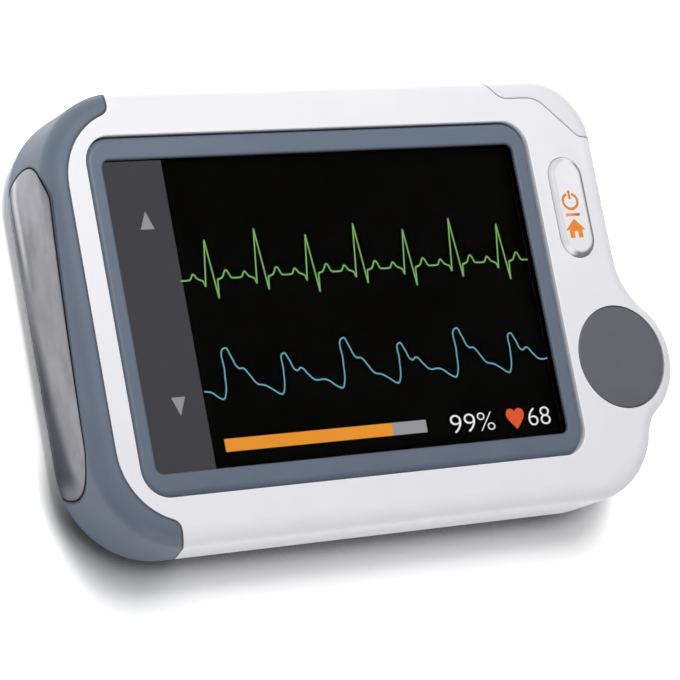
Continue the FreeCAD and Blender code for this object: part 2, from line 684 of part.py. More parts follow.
def battery_fence():
    """Low rib round the battery, standing on the rear cover's floor, with a gap for the leads."""
    length, width = BATTERY_LENGTH + 2 * FENCE_GAP, BATTERY_WIDTH + 2 * FENCE_GAP
    wall = 2 * FENCE_THICK
    x = (BATTERY_LEFT + BATTERY_RIGHT) / 2
    top = WALL + FENCE_HEIGHT
    outer = prism(round_corners(x, 0, length + wall, width + wall, FENCE_THICK), WALL / 2, top)
    y0, y1 = LEAD_Y - LEAD_PASSAGE, LEAD_Y + LEAD_SPACING + LEAD_PASSAGE
    passage = block(BATTERY_RIGHT, PLUG_X, y0, y1, WALL, top)
    return without(outer, prism(round_corners(x, 0, length, width, FENCE_GAP), WALL, top), passage)


def grille_holes():
    holes = [rod(SPEAKER_X, SPEAKER_Y, -OUTSIDE, BATTERY_BOTTOM, GRILLE_HOLE_R)]
    for i in range(GRILLE_COUNT):
        angle = 2 * math.pi * i / GRILLE_COUNT
        x = SPEAKER_X + GRILLE_PITCH * math.cos(angle)
        y = SPEAKER_Y + GRILLE_PITCH * math.sin(angle)
        holes.append(rod(x, y, -OUTSIDE, BATTERY_BOTTOM, GRILLE_HOLE_R))
    return holes


def left_bumper():
    skin = envelope(0).common(bumper_region(0)).cut(envelope(SKIN))
    return without(skin, side_pocket(), side_post(POST_R + POST_GAP, LEFT + OUTSIDE))


def corner_cap():
    skin = envelope(0).common(cap_region(0)).cut(envelope(SKIN))
    return skin.cut(probe_hole(PROBE_R + SLEEVE + SLEEVE_GAP))


def case_screws():
    """Four screws, put in from the back, that clamp the board between the covers' bosses."""
    head = rod(0, 0, SCREW_HEAD_DROP, SCREW_SEAT, SCREW_HEAD_R)
    head = rounded_top(head, SCREW_HEAD_DROP, SCREW_HEAD_ROUND)
    shank = rod(0, 0, SCREW_SEAT, BOARD_TOP + SCREW_BITE, SCREW_R)
    turns = [math.radians(60 * i) for i in range(7)]
    hexagon = [at(SCREW_SOCKET_R * math.cos(t), SCREW_SOCKET_R * math.sin(t)) for t in turns]
    socket = prism(Part.makePolygon(hexagon), 0, SCREW_HEAD_DROP + SCREW_SOCKET)
    screw = joined(head, shank).cut(socket)
    screws = []
    for x, y in SCREWS:
        screws.append(screw.copy())
        screws[-1].translate(at(x, y))
    return Part.makeCompound(screws)


# ---- Screen ----
def screen_prism(width, height, radius, z0, z1):
    """Solid with round corners, about the middle of the screen."""
    return prism(round_corners(SCREEN_X, BEZEL_Y, width, height, radius), z0, z1)


def bezel():
    """Ring round the window, with a rim behind the front cover that is cut back beside its neighbours."""
    gap, flange = 2 * BEZEL_GAP, 2 * BEZEL_FLANGE
    ring = screen_prism(BEZEL_WIDTH - gap, BEZEL_HEIGHT - gap, BEZEL_R - BEZEL_GAP, INNER_TOP, BEZEL_TOP)
    width, height, radius = BEZEL_WIDTH + flange, BEZEL_HEIGHT + flange, BEZEL_R + BEZEL_FLANGE
    rim = screen_prism(width, height, radius, FRAME_TOP, INNER_TOP)
    room = 2 * SKIN_GAP + WALL
    rim = rim.common(prism(outline(BUMPER_MARGIN + room), FRAME_TOP, INNER_TOP))
    rim = without(rim, cap_region(room), rod(LOBE_X, LOBE_Y, 0, CASE_DEPTH, THUMB_SEAT_R + SKIN_GAP))
    lap = 2 * (GLASS_LAP + GLASS_GAP)
    bed = screen_prism(WINDOW_WIDTH + lap, WINDOW_HEIGHT + lap, WINDOW_R + GLASS_LAP, 0, GLASS_TOP)
    window = screen_prism(WINDOW_WIDTH, WINDOW_HEIGHT, WINDOW_R, 0, CASE_DEPTH)
    body = without(joined(ring, rim), bed)
    body = rounded_top(body, BEZEL_TOP, BEZEL_ROUND).cut(window)
    mouth = [e for e in edges_at(body, BEZEL_TOP) if is_mouth(e)]
    return body.makeFillet(BEZEL_INNER_ROUND, mouth)


def is_mouth(edge):
    """Whether an edge on the bezel's front belongs to its window."""
    centre = edge.BoundBox.Center
    in_width = abs(centre.x - SCREEN_X) < WINDOW_WIDTH / 2 + TOUCHING
    return in_width and abs(centre.y - BEZEL_Y) < WINDOW_HEIGHT / 2 + TOUCHING


def touch_glass():
    width, height = WINDOW_WIDTH + 2 * GLASS_LAP, WINDOW_HEIGHT + 2 * GLASS_LAP
    return screen_prism(width, height, WINDOW_R + GLASS_LAP, GLASS_BOTTOM, GLASS_TOP)


def glass_gasket():
    """Sticky foam ring between the panel's border and the glass."""
    width, height = WINDOW_WIDTH + 2 * GASKET_SHOW, WINDOW_HEIGHT + 2 * GASKET_SHOW
    ring = screen_prism(PANEL_WIDTH, PANEL_HEIGHT, WINDOW_R + PANEL_LAP, PANEL_TOP, GLASS_BOTTOM)
    return ring.cut(screen_prism(width, height, WINDOW_R, 0, CASE_DEPTH))


def screen_block(z0, z1):
    x0, y0 = SCREEN_X - PANEL_WIDTH / 2, BEZEL_Y - PANEL_HEIGHT / 2
    return block(x0, x0 + PANEL_WIDTH, y0, y0 + PANEL_HEIGHT, z0, z1)


def display_panel():
    return screen_block(PANEL_BOTTOM, PANEL_TOP)


def backlight():
    return screen_block(BACKLIGHT_BOTTOM, PANEL_BOTTOM)


def inner_frame():
    """Tray that carries the panel and its backlight, standing on the board."""
    outer = 2 * (FRAME_GAP + FRAME_WALL)
    tray = screen_prism(PANEL_WIDTH + outer, PANEL_HEIGHT + outer, WINDOW_R, FRAME_BOTTOM, FRAME_TOP)
    gap = 2 * FRAME_GAP
    room = screen_prism(PANEL_WIDTH + gap, PANEL_HEIGHT + gap, gap, BACKLIGHT_BOTTOM, CASE_DEPTH)
    dx, dy = PANEL_WIDTH / 2 - 2 * FRAME_LEG_R, PANEL_HEIGHT / 2 - 2 * FRAME_LEG_R
    corners = [(SCREEN_X + i * dx, BEZEL_Y + j * dy) for i in (-1, 1) for j in (-1, 1)]
    legs = [rod(x, y, BOARD_TOP, FRAME_BOTTOM, FRAME_LEG_R) for x, y in corners]
    half = FLEX_HALF + FLEX_SLOT_GAP
    z0 = PANEL_BOTTOM - FLEX_SLOT_GAP
    way_out = block(PANEL_RIGHT, FRAME_RIGHT + OUTSIDE, -half, half, z0, CASE_DEPTH)
    return joined(tray.cut(room), *legs).cut(way_out)


def display_flex():
    """Ribbon that leaves the panel, turns down and comes back into its connector."""
    upper, lower = PANEL_BOTTOM, BOARD_TOP + FLEX_LOW
    radius = (upper + FLEX_THICK - lower) / 2
    turn_x = FLEX_CONNECTOR_X + FLEX_CONNECTOR_LENGTH + FLEX_CLEAR
    axis, width = at(turn_x, -FLEX_HALF, lower + radius), 2 * FLEX_HALF
    outside = Part.makeCylinder(radius, width, axis, at(0, 1, 0))
    inside = Part.makeCylinder(radius - FLEX_THICK, width, axis, at(0, 1, 0))
    half_space = block(turn_x, turn_x + radius, -FLEX_HALF, FLEX_HALF, 0, CASE_DEPTH)
    top = block(PANEL_RIGHT, turn_x, -FLEX_HALF, FLEX_HALF, upper, upper + FLEX_THICK)
    bottom_x = FLEX_CONNECTOR_X + FLEX_CONNECTOR_LENGTH
    bottom = block(bottom_x, turn_x, -FLEX_HALF, FLEX_HALF, lower, lower + FLEX_THICK)
    return joined(outside.cut(inside).common(half_space), top, bottom)


def flex_connector():
    half = FLEX_HALF + FLEX_CONNECTOR_SIDE
    x1 = FLEX_CONNECTOR_X + FLEX_CONNECTOR_LENGTH
    return block(FLEX_CONNECTOR_X, x1, -half, half, BOARD_TOP, BOARD_TOP + FLEX_CONNECTOR_HEIGHT)


# ---- Main board and what is on it ----
def main_board():
    board = prism(outline(BOARD_MARGIN), BOARD_BOTTOM, BOARD_TOP)
    board = board.common(block(LEFT + BOARD_LEFT, RIGHT, -TOP, TOP, 0, CASE_DEPTH))
    tools = [rod(x, y, 0, CASE_DEPTH, SCREW_R + SCREW_GAP) for x, y in SCREWS]
    return without(board, probe_hole(PROBE_BRIM_R + 2 * SLEEVE), *tools)


def centred(x, y, length, width, z0, z1):
    """Block between two heights, centred at x, y."""
    return block(x - length / 2, x + length / 2, y - width / 2, y + width / 2, z0, z1)


def under_board(x, y, length, width, thick):
    return centred(x, y, length, width, BOARD_BOTTOM - thick, BOARD_BOTTOM)


def processor():
    return under_board(CHIP_X, PROCESSOR_Y, PROCESSOR_SIZE, PROCESSOR_SIZE, CHIP_THICK)


def memory_chip():
    return under_board(CHIP_X, MEMORY_Y, MEMORY_LENGTH, MEMORY_WIDTH, CHIP_THICK)


def radio_shield():
    shield = under_board(SHIELD_X, SHIELD_Y, SHIELD_LENGTH, SHIELD_WIDTH, SHIELD_THICK)
    return rounded_top(shield, BOARD_BOTTOM - SHIELD_THICK, SHIELD_ROUND)


def small_parts():
    """Two rows of resistors and capacitors beside the processor, and the crystal."""
    length, width = SMALL_PART_LENGTH, SMALL_PART_WIDTH
    reach = PROCESSOR_SIZE / 2 + SMALL_PART_OFF
    parts = []
    for i in range(SMALL_PART_COUNT):
        shift = (i - (SMALL_PART_COUNT - 1) / 2) * SMALL_PART_PITCH
        parts.append(under_board(CHIP_X + shift, PROCESSOR_Y - reach, length, width, SMALL_PART_THICK))
        parts.append(under_board(CHIP_X + reach, PROCESSOR_Y + shift, width, length, SMALL_PART_THICK))
    parts.append(under_board(CHIP_X - reach, PROCESSOR_Y, CRYSTAL_WIDTH, CRYSTAL_LENGTH, CRYSTAL_THICK))
    return Part.makeCompound(parts)


# ---- Home button ----
def home_button():
    z0 = INNER_TOP - BUTTON_FLANGE_GAP
    cap = prism(slot(BUTTON_X, BUTTON_Y, BUTTON_WIDTH, BUTTON_LENGTH), z0, CASE_DEPTH + BUTTON_RISE)
    cap = rounded_top(cap, CASE_DEPTH + BUTTON_RISE, BUTTON_ROUND)
    size = 2 * BUTTON_FLANGE
    rim = slot(BUTTON_X, BUTTON_Y, BUTTON_WIDTH + size, BUTTON_LENGTH + size)
    flange = prism(rim, z0 - BUTTON_FLANGE_THICK, z0)
    stem = rod(BUTTON_X, BUTTON_Y, PLUNGER_TOP + STEM_GAP, z0, BUTTON_STEM_R)
    return joined(cap, flange, stem)


def switch_housing():
    half = SWITCH_SIZE / 2
    x, y = BUTTON_X, BUTTON_Y
    body = block(x - half, x + half, y - half, y + half, BOARD_TOP, SWITCH_TOP)
    return without(
        body,
        rod(x, y, CAVITY_BOTTOM, SWITCH_TOP - SWITCH_LID, SWITCH_CAVITY_R),
        rod(x, y, CAVITY_BOTTOM, CASE_DEPTH, PLUNGER_R + PLUNGER_GAP),
    )


def switch_plunger():
    x, y = BUTTON_X, BUTTON_Y
    pin = rod(x, y, PLUNGER_BOTTOM, PLUNGER_TOP, PLUNGER_R)
    return joined(pin, rod(x, y, PLUNGER_BOTTOM, PLUNGER_FLANGE_TOP, PLUNGER_FLANGE_R))


def switch_dome():
    """Sprung metal dome under the plunger: a slice of a hollow sphere."""
    rise = PLUNGER_BOTTOM - CAVITY_BOTTOM
    radius = (DOME_R**2 + rise**2) / (2 * rise)
    centre = at(BUTTON_X, BUTTON_Y, PLUNGER_BOTTOM - radius)
    shell = Part.makeSphere(radius, centre).cut(Part.makeSphere(radius - DOME_THICK, centre))
    return shell.common(rod(BUTTON_X, BUTTON_Y, CAVITY_BOTTOM, CASE_DEPTH, DOME_R))


# ---- Electrodes and their contacts ----
def thumb_electrode():
    disc = rod(LOBE_X, LOBE_Y, THUMB_BOTTOM, CASE_DEPTH - THUMB_DROP, THUMB_R)
    disc = rounded_top(disc, CASE_DEPTH - THUMB_DROP, ELECTRODE_ROUND)
    return joined(disc, rod(LOBE_X, LOBE_Y, THUMB_POST_END, THUMB_BOTTOM, POST_R))


def contact_pin(x, y, z_board, z_post):
    """Sprung pin that stands on the board and presses on an electrode's post."""
    way = math.copysign(1, z_post - z_board)
    shoulder = z_post - way * PIN_TIP
    low, high = sorted((z_board, shoulder))
    tip_low, tip_high = sorted((shoulder, z_post))
    return joined(rod(x, y, low, high, PIN_R), rod(x, y, tip_low, tip_high, PIN_TIP_R))


def thumb_contact_pin():
    return contact_pin(LOBE_X, LOBE_Y, BOARD_TOP, THUMB_POST_END)


def rear_contact_pin():
    return contact_pin(REAR_PLATE_X, REAR_PLATE_Y, BOARD_BOTTOM, REAR_POST_END)


def rear_electrode():
    z0, z1 = REAR_PLATE_DROP, REAR_PLATE_DROP + REAR_PLATE_THICK
    plate = prism(slot(REAR_PLATE_X, REAR_PLATE_Y, REAR_PLATE_LENGTH, REAR_PLATE_WIDTH), z0, z1)
    plate = rounded_top(plate, z0, ELECTRODE_ROUND)
    return joined(plate, rod(REAR_PLATE_X, REAR_PLATE_Y, z1, REAR_POST_END, POST_R))


def left_electrode():
    return joined(side_layer(envelope(0), 0), side_post(POST_R, SIDE_POST_X))


def side_contact_spring():
    """Bent leaf that stands on the board and presses on the left electrode's post."""
    z_top = SIDE_Z + SIDE_POST_RISE + POST_R
    half = LEAF_WIDTH / 2
    upright = block(SIDE_POST_X, SIDE_POST_X + LEAF_THICK, -half, half, BOARD_TOP, z_top)
    foot = block(SIDE_POST_X, SIDE_POST_X + LEAF_FOOT, -half, half, BOARD_TOP, BOARD_TOP + LEAF_THICK)
    return joined(upright, foot)


# ---- Oxygen sensor ----
def oximeter_lens():
    return prism(slot(SENSOR_X, GROOVE_Y, LENS_LENGTH, LENS_WIDTH), LENS_BOTTOM, LENS_BOTTOM + LENS_THICK)


def oximeter_board():
    top = SENSOR_SEAT + SENSOR_BOARD_THICK
    return centred(SENSOR_X, GROOVE_Y, SENSOR_BOARD_LENGTH, SENSOR_BOARD_WIDTH, SENSOR_SEAT, top)


def oximeter_chips():
    """Lamp and light detector, facing the lens."""
    xs = (SENSOR_X - SENSOR_SPACING / 2, SENSOR_X + SENSOR_SPACING / 2)
    lens_top = LENS_BOTTOM + LENS_THICK
    chips = [centred(x, GROOVE_Y, SENSOR_CHIP, SENSOR_CHIP, lens_top, SENSOR_SEAT) for x in xs]
    return Part.makeCompound(chips)


def oximeter_plug():
    bottom = SENSOR_SEAT + SENSOR_BOARD_THICK
    return centred(SENSOR_X, GROOVE_Y, SENSOR_PLUG_LENGTH, SENSOR_PLUG_WIDTH, bottom, BOARD_BOTTOM)


# ---- Temperature sensor ----
def temperature_sensor():
    mouth = TOP_RIGHT_R - PROBE_DROP
    can = Part.makeCylinder(PROBE_R, PROBE_LENGTH, at(0, 0, mouth - PROBE_LENGTH))
    brim = Part.makeCylinder(PROBE_BRIM_R, PROBE_BRIM, at(0, 0, mouth - PROBE_LENGTH))
    recess = Part.makeCylinder(PROBE_WINDOW_R, PROBE_WINDOW_DEPTH, at(0, 0, mouth - PROBE_WINDOW_DEPTH))
    return probe_place(joined(can, brim).cut(recess))


def temperature_window():
    depth = PROBE_WINDOW_DEPTH / 2
    mouth = TOP_RIGHT_R - PROBE_DROP
    return probe_place(Part.makeCylinder(PROBE_WINDOW_R, depth, at(0, 0, mouth - PROBE_WINDOW_DEPTH)))


def sensor_sleeve():
    """Rubber sleeve between the sensor's can and the case."""
    start = TOP_RIGHT_R - PROBE_DROP - PROBE_LENGTH + PROBE_BRIM
    length = PROBE_LENGTH - PROBE_BRIM
    sleeve = Part.makeCylinder(PROBE_R + SLEEVE, length, at(0, 0, start))
    return probe_place(sleeve.cut(Part.makeCylinder(PROBE_R, length, at(0, 0, start))))


# ---- Battery, speaker and port ----
def battery():
    half = BATTERY_WIDTH / 2
    cell = block(BATTERY_LEFT, BATTERY_RIGHT, -half, half, BATTERY_BOTTOM, BATTERY_TOP)
    along = [e for e in cell.Edges if e.BoundBox.YLength > BATTERY_WIDTH / 2]
    return cell.makeFillet(BATTERY_ROUND, along)


def battery_tape():
    half = BATTERY_WIDTH / 2 - TAPE_MARGIN
    return block(BATTERY_LEFT + TAPE_MARGIN, BATTERY_RIGHT - TAPE_MARGIN, -half, half, WALL, BATTERY_BOTTOM)


def battery_plug():
    """Battery connector under the board."""
    y = LEAD_Y + LEAD_SPACING / 2
    return under_board(PLUG_X + PLUG_LENGTH / 2, y, PLUG_LENGTH, PLUG_WIDTH, PLUG_HEIGHT)


def lead(y):
    """One insulated wire, with a gentle double bend from the cell up to the plug."""
    z0, z1 = BATTERY_MIDDLE, BOARD_BOTTOM - PLUG_HEIGHT / 2
    points = [at(BATTERY_RIGHT, y, z0), at(BATTERY_RIGHT + LEAD_SPAN / 3, y, z0),
              at(PLUG_X - LEAD_SPAN / 3, y, z1), at(PLUG_X, y, z1)]
    return tube(points, LEAD_R)


def tube(points, radius):
    """Round wire along straight runs that are joined by arcs."""
    edges = []
    start = points[0]
    for before, corner, after in zip(points, points[1:], points[2:]):
        back, on = before - corner, after - corner
        reach = LEAD_BEND * min(back.Length, on.Length)
        back.normalize()
        on.normalize()
        arc_start, arc_end = corner + back * reach, corner + on * reach
        turn = math.pi - back.getAngle(on)
        bend = reach / math.tan(turn / 2)
        inward = back + on
        inward.normalize()
        centre = corner + inward * math.hypot(bend, reach)
        edges.append(Part.LineSegment(start, arc_start).toShape())
        edges.append(Part.Arc(arc_start, centre - inward * bend, arc_end).toShape())
        start = arc_end
    edges.append(Part.LineSegment(start, points[-1]).toShape())
    path = Part.Wire(edges)
    ring = Part.Wire(Part.Circle(points[0], points[1] - points[0], radius).toShape())
    return path.makePipeShell([ring], True, True)


def battery_leads():
    return Part.makeCompound([lead(LEAD_Y), lead(LEAD_Y + LEAD_SPACING)])


def speaker():
    z0 = WALL + SPEAKER_GASKET
    basket = rod(SPEAKER_X, SPEAKER_Y, z0, z0 + SPEAKER_THICK, SPEAKER_R)
    basket = rounded_top(basket, z0 + SPEAKER_THICK, SPEAKER_ROUND)
    mouth_r = SPEAKER_R - SPEAKER_GASKET_WIDTH
    cone = Part.makeCone(mouth_r, mouth_r / 3, SPEAKER_THICK / 3, at(SPEAKER_X, SPEAKER_Y, z0))
    return basket.cut(cone)


def speaker_gasket():
    ring = rod(SPEAKER_X, SPEAKER_Y, WALL, WALL + SPEAKER_GASKET, SPEAKER_R)
    return ring.cut(rod(SPEAKER_X, SPEAKER_Y, 0, CASE_DEPTH, SPEAKER_R - SPEAKER_GASKET_WIDTH))


def speaker_contacts():
    """Two sprung pins from the speaker up to the board."""
    z0 = WALL + SPEAKER_GASKET + SPEAKER_THICK
    xs = (SPEAKER_X - SPEAKER_PIN_OFF, SPEAKER_X + SPEAKER_PIN_OFF)
    return Part.makeCompound([rod(x, SPEAKER_Y, z0, BOARD_BOTTOM, PIN_TIP_R) for x in xs])


def port_shell():
    """Metal shell of the charging and lead port, open at its mouth."""
    body = port_room(0)
    room = port_room(-PORT_SHELL)
    room.translate(at(0, PORT_SHELL, 0))
    return body.cut(room)


def port_tongue():
    width = PORT_WIDTH - 4 * PORT_TONGUE
    y1 = TOP - PORT_DROP
    y0 = y1 - PORT_LENGTH + 2 * PORT_SHELL
    return block(PORT_X - width / 2, PORT_X + width / 2, y0 - PORT_SHELL, y1 - PORT_TONGUE,
                 PORT_MIDDLE - PORT_TONGUE / 2, PORT_MIDDLE + PORT_TONGUE / 2)


NODES = [
    front_cover, rear_cover, left_bumper, corner_cap, case_screws,
    bezel, touch_glass, glass_gasket, display_panel, backlight, inner_frame, display_flex, flex_connector,
    main_board, processor, memory_chip, radio_shield, small_parts,
    home_button, switch_housing, switch_plunger, switch_dome,
    thumb_electrode, thumb_contact_pin, rear_electrode, rear_contact_pin,
    left_electrode, side_contact_spring,
    oximeter_lens, oximeter_board, oximeter_chips, oximeter_plug,
    temperature_sensor, temperature_window, sensor_sleeve,
    battery, battery_tape, battery_plug, battery_leads,
    speaker, speaker_gasket, speaker_contacts, port_shell, port_tongue,
]


def main():
    os.makedirs("parts", exist_ok=True)
    for make in NODES:
        make().exportStep(os.path.join("parts", make.__name__ + ".step"))


main()
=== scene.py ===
import logging
import math
from dataclasses import dataclass, field
from enum import Enum
from typing import Callable, Sequence

import bpy
from mathutils import Matrix, Vector


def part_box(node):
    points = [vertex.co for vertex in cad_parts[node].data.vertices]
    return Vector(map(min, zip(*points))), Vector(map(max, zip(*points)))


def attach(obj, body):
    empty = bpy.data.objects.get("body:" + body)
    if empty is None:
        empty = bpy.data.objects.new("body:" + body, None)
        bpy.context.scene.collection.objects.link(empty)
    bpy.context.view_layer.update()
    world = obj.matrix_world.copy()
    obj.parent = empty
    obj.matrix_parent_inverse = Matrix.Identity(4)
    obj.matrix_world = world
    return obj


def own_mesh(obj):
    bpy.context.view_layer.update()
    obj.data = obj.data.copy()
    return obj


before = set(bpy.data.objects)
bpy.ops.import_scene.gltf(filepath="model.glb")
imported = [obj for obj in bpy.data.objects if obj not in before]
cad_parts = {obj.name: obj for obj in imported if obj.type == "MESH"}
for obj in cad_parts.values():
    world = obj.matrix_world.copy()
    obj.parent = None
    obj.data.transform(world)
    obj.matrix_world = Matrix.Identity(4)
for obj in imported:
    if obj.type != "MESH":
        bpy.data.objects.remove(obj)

logging.basicConfig(level=logging.INFO, format="%(name)s: %(message)s")
log = logging.getLogger("heart_monitor")

MM = 0.001
Point = tuple[float, float]
Color = tuple[int, int, int]
Shade = tuple[float, float, float, float]
Socket = bpy.types.NodeSocket
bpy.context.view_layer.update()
AO_SAMPLES = 8


class Body(Enum):
    """Moving bodies of the monitor."""

    CASE = "case"
    BUTTON = "button"
    PLUNGER = "plunger"


# ---------------------------------------------------------------- materials
def linear(color: Color) -> Shade:
    """Turns a screen colour into a shader colour.

    Args:
        color: Red, green and blue, 0 to 255.

    Returns:
        The linear colour with full alpha.
    """
    shares = [c / 255 for c in color]
    return (*[c / 12.92 if c <= 0.04045 else ((c + 0.055) / 1.055) ** 2.4 for c in shares], 1.0)


def grey(level: float) -> Shade:
    """Gives a grey as a shader colour."""
    return (level, level, level, 1.0)


def scaled(color: Shade, factor: float) -> Shade:
    """Dims or brightens a shader colour, up to full white."""
    return (*[min(1.0, c * factor) for c in color[:3]], 1.0)


class Graph:
    """Node graph of one material, built round its main shader."""

    def __init__(self, name: str) -> None:
        """Starts an empty graph.

        Args:
            name: Name of the material.
        """
        self.material = bpy.data.materials.new(name)
        self.material.use_nodes = True
        self.tree = self.material.node_tree
        self.shader = self.tree.nodes["Principled BSDF"]
        self._place = None

    def add(self, kind: str, **settings: object) -> bpy.types.Node:
        """Adds a node.

        Args:
            kind: Blender's name for the node type.
            settings: Properties of the node, and its input values by socket name with spaces as underscores.

        Returns:
            The node.
        """
        node = self.tree.nodes.new(kind)
        for key, value in settings.items():
            if hasattr(node, key):
                setattr(node, key, value)
            else:
                node.inputs[key.replace("_", " ")].default_value = value
        return node

    def link(self, start: Socket, end: Socket) -> None:
        """Joins two sockets."""
        self.tree.links.new(start, end)

    def place(self, stretch: Sequence[float] = (1.0, 1.0, 1.0)) -> Socket:
        """Gives the position on the object, in metres.

        Args:
            stretch: Factor on each axis; a small one draws a pattern out along that axis.

        Returns:
            The vector socket.
        """
        if self._place is None:
            self._place = self.add("ShaderNodeTexCoord").outputs["Object"]
        if tuple(stretch) == (1.0, 1.0, 1.0):
            return self._place
        mapping = self.add("ShaderNodeMapping", Scale=tuple(stretch))
        self.link(self._place, mapping.inputs["Vector"])
        return mapping.outputs["Vector"]

    def noise(self, size: float, detail: float = 2.0, stretch: Sequence[float] = (1.0, 1.0, 1.0)) -> Socket:
        """Adds a cloudy pattern.

        Args:
            size: Size of its blobs, in metres.
            detail: How many finer layers it has.
            stretch: Factor on each axis.

        Returns:
            The pattern's value socket, about 0.3 to 0.7.
        """
        node = self.add("ShaderNodeTexNoise", Scale=1.0 / size, Detail=detail)
        self.link(self.place(stretch), node.inputs["Vector"])
        return node.outputs["Fac"]

    def spread(self, value: Socket, low: float, high: float) -> Socket:
        """Maps a cloudy pattern to a range.

        Args:
            value: The pattern.
            low: Result at its dark end.
            high: Result at its light end.

        Returns:
            The mapped value socket.
        """
        node = self.add("ShaderNodeMapRange", From_Min=0.3, From_Max=0.7, To_Min=low, To_Max=high)
        self.link(value, node.inputs["Value"])
        return node.outputs["Result"]

    def blend(self, factor: Socket, first: Sequence[float] | Socket, second: Sequence[float]) -> Socket:
        """Mixes two colours.

        Args:
            factor: Share of the second colour.
            first: Colour at 0, or the socket that gives it.
            second: Colour at 1.

        Returns:
            The colour socket.
        """
        node = self.add("ShaderNodeMix", data_type="RGBA")
        inputs = {socket.identifier: socket for socket in node.inputs}
        self.link(factor, inputs["Factor_Float"])
        if isinstance(first, Socket):
            self.link(first, inputs["A_Color"])
        else:
            inputs["A_Color"].default_value = first
        inputs["B_Color"].default_value = second
        return next(socket for socket in node.outputs if socket.identifier == "Result_Color")

    def compute(self, operation: str, first: Socket, second: Socket | float = 0.0) -> Socket:
        """Adds one step of arithmetic.

        Args:
            operation: Blender's name for it.
            first: First value.
            second: Second value, a socket or a number; some operations need none.

        Returns:
            The result's socket.
        """
        node = self.add("ShaderNodeMath", operation=operation)
        self.link(first, node.inputs[0])
        if isinstance(second, Socket):
            self.link(second, node.inputs[1])
        else:
            node.inputs[1].default_value = second
        return node.outputs[0]

    def axes(self) -> tuple[Socket, Socket, Socket]:
        """Splits the position on the object.

        Returns:
            The sockets of x, y and z, in metres.
        """
        parts = self.add("ShaderNodeSeparateXYZ")
        self.link(self.place(), parts.inputs[0])
        return tuple(parts.outputs)

    def ramp(self, value: Socket, start: float, end: float) -> Socket:
        """Maps a value softly to 0 at the start and 1 at the end.

        Args:
            value: The value.
            start: Where the result is 0.
            end: Where it is 1; it may lie below the start.

        Returns:
            The mapped value socket.
        """
        node = self.add("ShaderNodeMapRange", interpolation_type="SMOOTHSTEP", From_Min=start, From_Max=end)
        self.link(value, node.inputs["Value"])
        return node.outputs["Result"]

    def edge(self, width: float) -> Socket:
        """Finds the sharp outer edges of the piece.

        Args:
            width: How far the soft band beside each edge reaches, in metres.

        Returns:
            The value socket: 0 inside a face and 1 right at an edge.
        """
        inside = self.add(
            "ShaderNodeAmbientOcclusion", samples=AO_SAMPLES, inside=True, only_local=True, Distance=width
        )
        flat_face, sharp_edge = 0.98, 0.55
        return self.ramp(inside.outputs["AO"], flat_face, sharp_edge)

    def bump(self, height: Socket, depth: float) -> None:
        """Roughens the surface by a height pattern.

        Args:
            height: The pattern.
            depth: Height in metres at the pattern's full value.
        """
        node = self.add("ShaderNodeBump", Strength=1.0, Distance=depth)
        self.link(height, node.inputs["Height"])
        self.link(node.outputs["Normal"], self.shader.inputs["Normal"])

    def set(self, **values: object) -> None:
        """Sets the shader's own sockets by name, with spaces as underscores."""
        for key, value in values.items():
            self.shader.inputs[key.replace("_", " ")].default_value = value


@dataclass(frozen=True)
class Moulded:
    """Moulded plastic or rubber: an even colour with faint clouds and a fine grain, and painted shade beside
    its sharp edges where edge_width is set.
    """

    name: str
    color: Color
    roughness: float = 0.42
    clouds: float = 0.03
    cloud_size: float = 6 * MM
    grain_size: float = 0.12 * MM
    grain_depth: float = 0.002 * MM
    specular: float = 0.5
    unevenness: float = 0.03
    # edge_shade: painted shade in a soft band beside sharp edges, as a share of the colour
    edge_width: float = 0.0
    edge_shade: float = 0.5

    def tint(self, graph: Graph, color: Socket) -> Socket:
        """Gives the colour with what a piece adds to it."""
        return color

    def build(self) -> bpy.types.Material:
        """Makes the material."""
        graph = Graph(self.name)
        base = linear(self.color)
        clouds = graph.spread(graph.noise(self.cloud_size, 3.0), 0.0, 1.0)
        color = graph.blend(clouds, scaled(base, 1 - self.clouds), scaled(base, 1 + self.clouds))
        # painted shade: darker beside the sharp edges, where shade falls in the gaps
        if self.edge_width > 0:
            color = graph.blend(graph.edge(self.edge_width), color, scaled(base, self.edge_shade))
        graph.link(self.tint(graph, color), graph.shader.inputs["Base Color"])
        sheen = graph.spread(graph.noise(self.cloud_size / 3), -self.unevenness, self.unevenness)
        graph.link(graph.compute("ADD", sheen, self.roughness), graph.shader.inputs["Roughness"])
        graph.bump(graph.noise(self.grain_size), self.grain_depth)
        graph.set(Specular_IOR_Level=self.specular)
        return graph.material


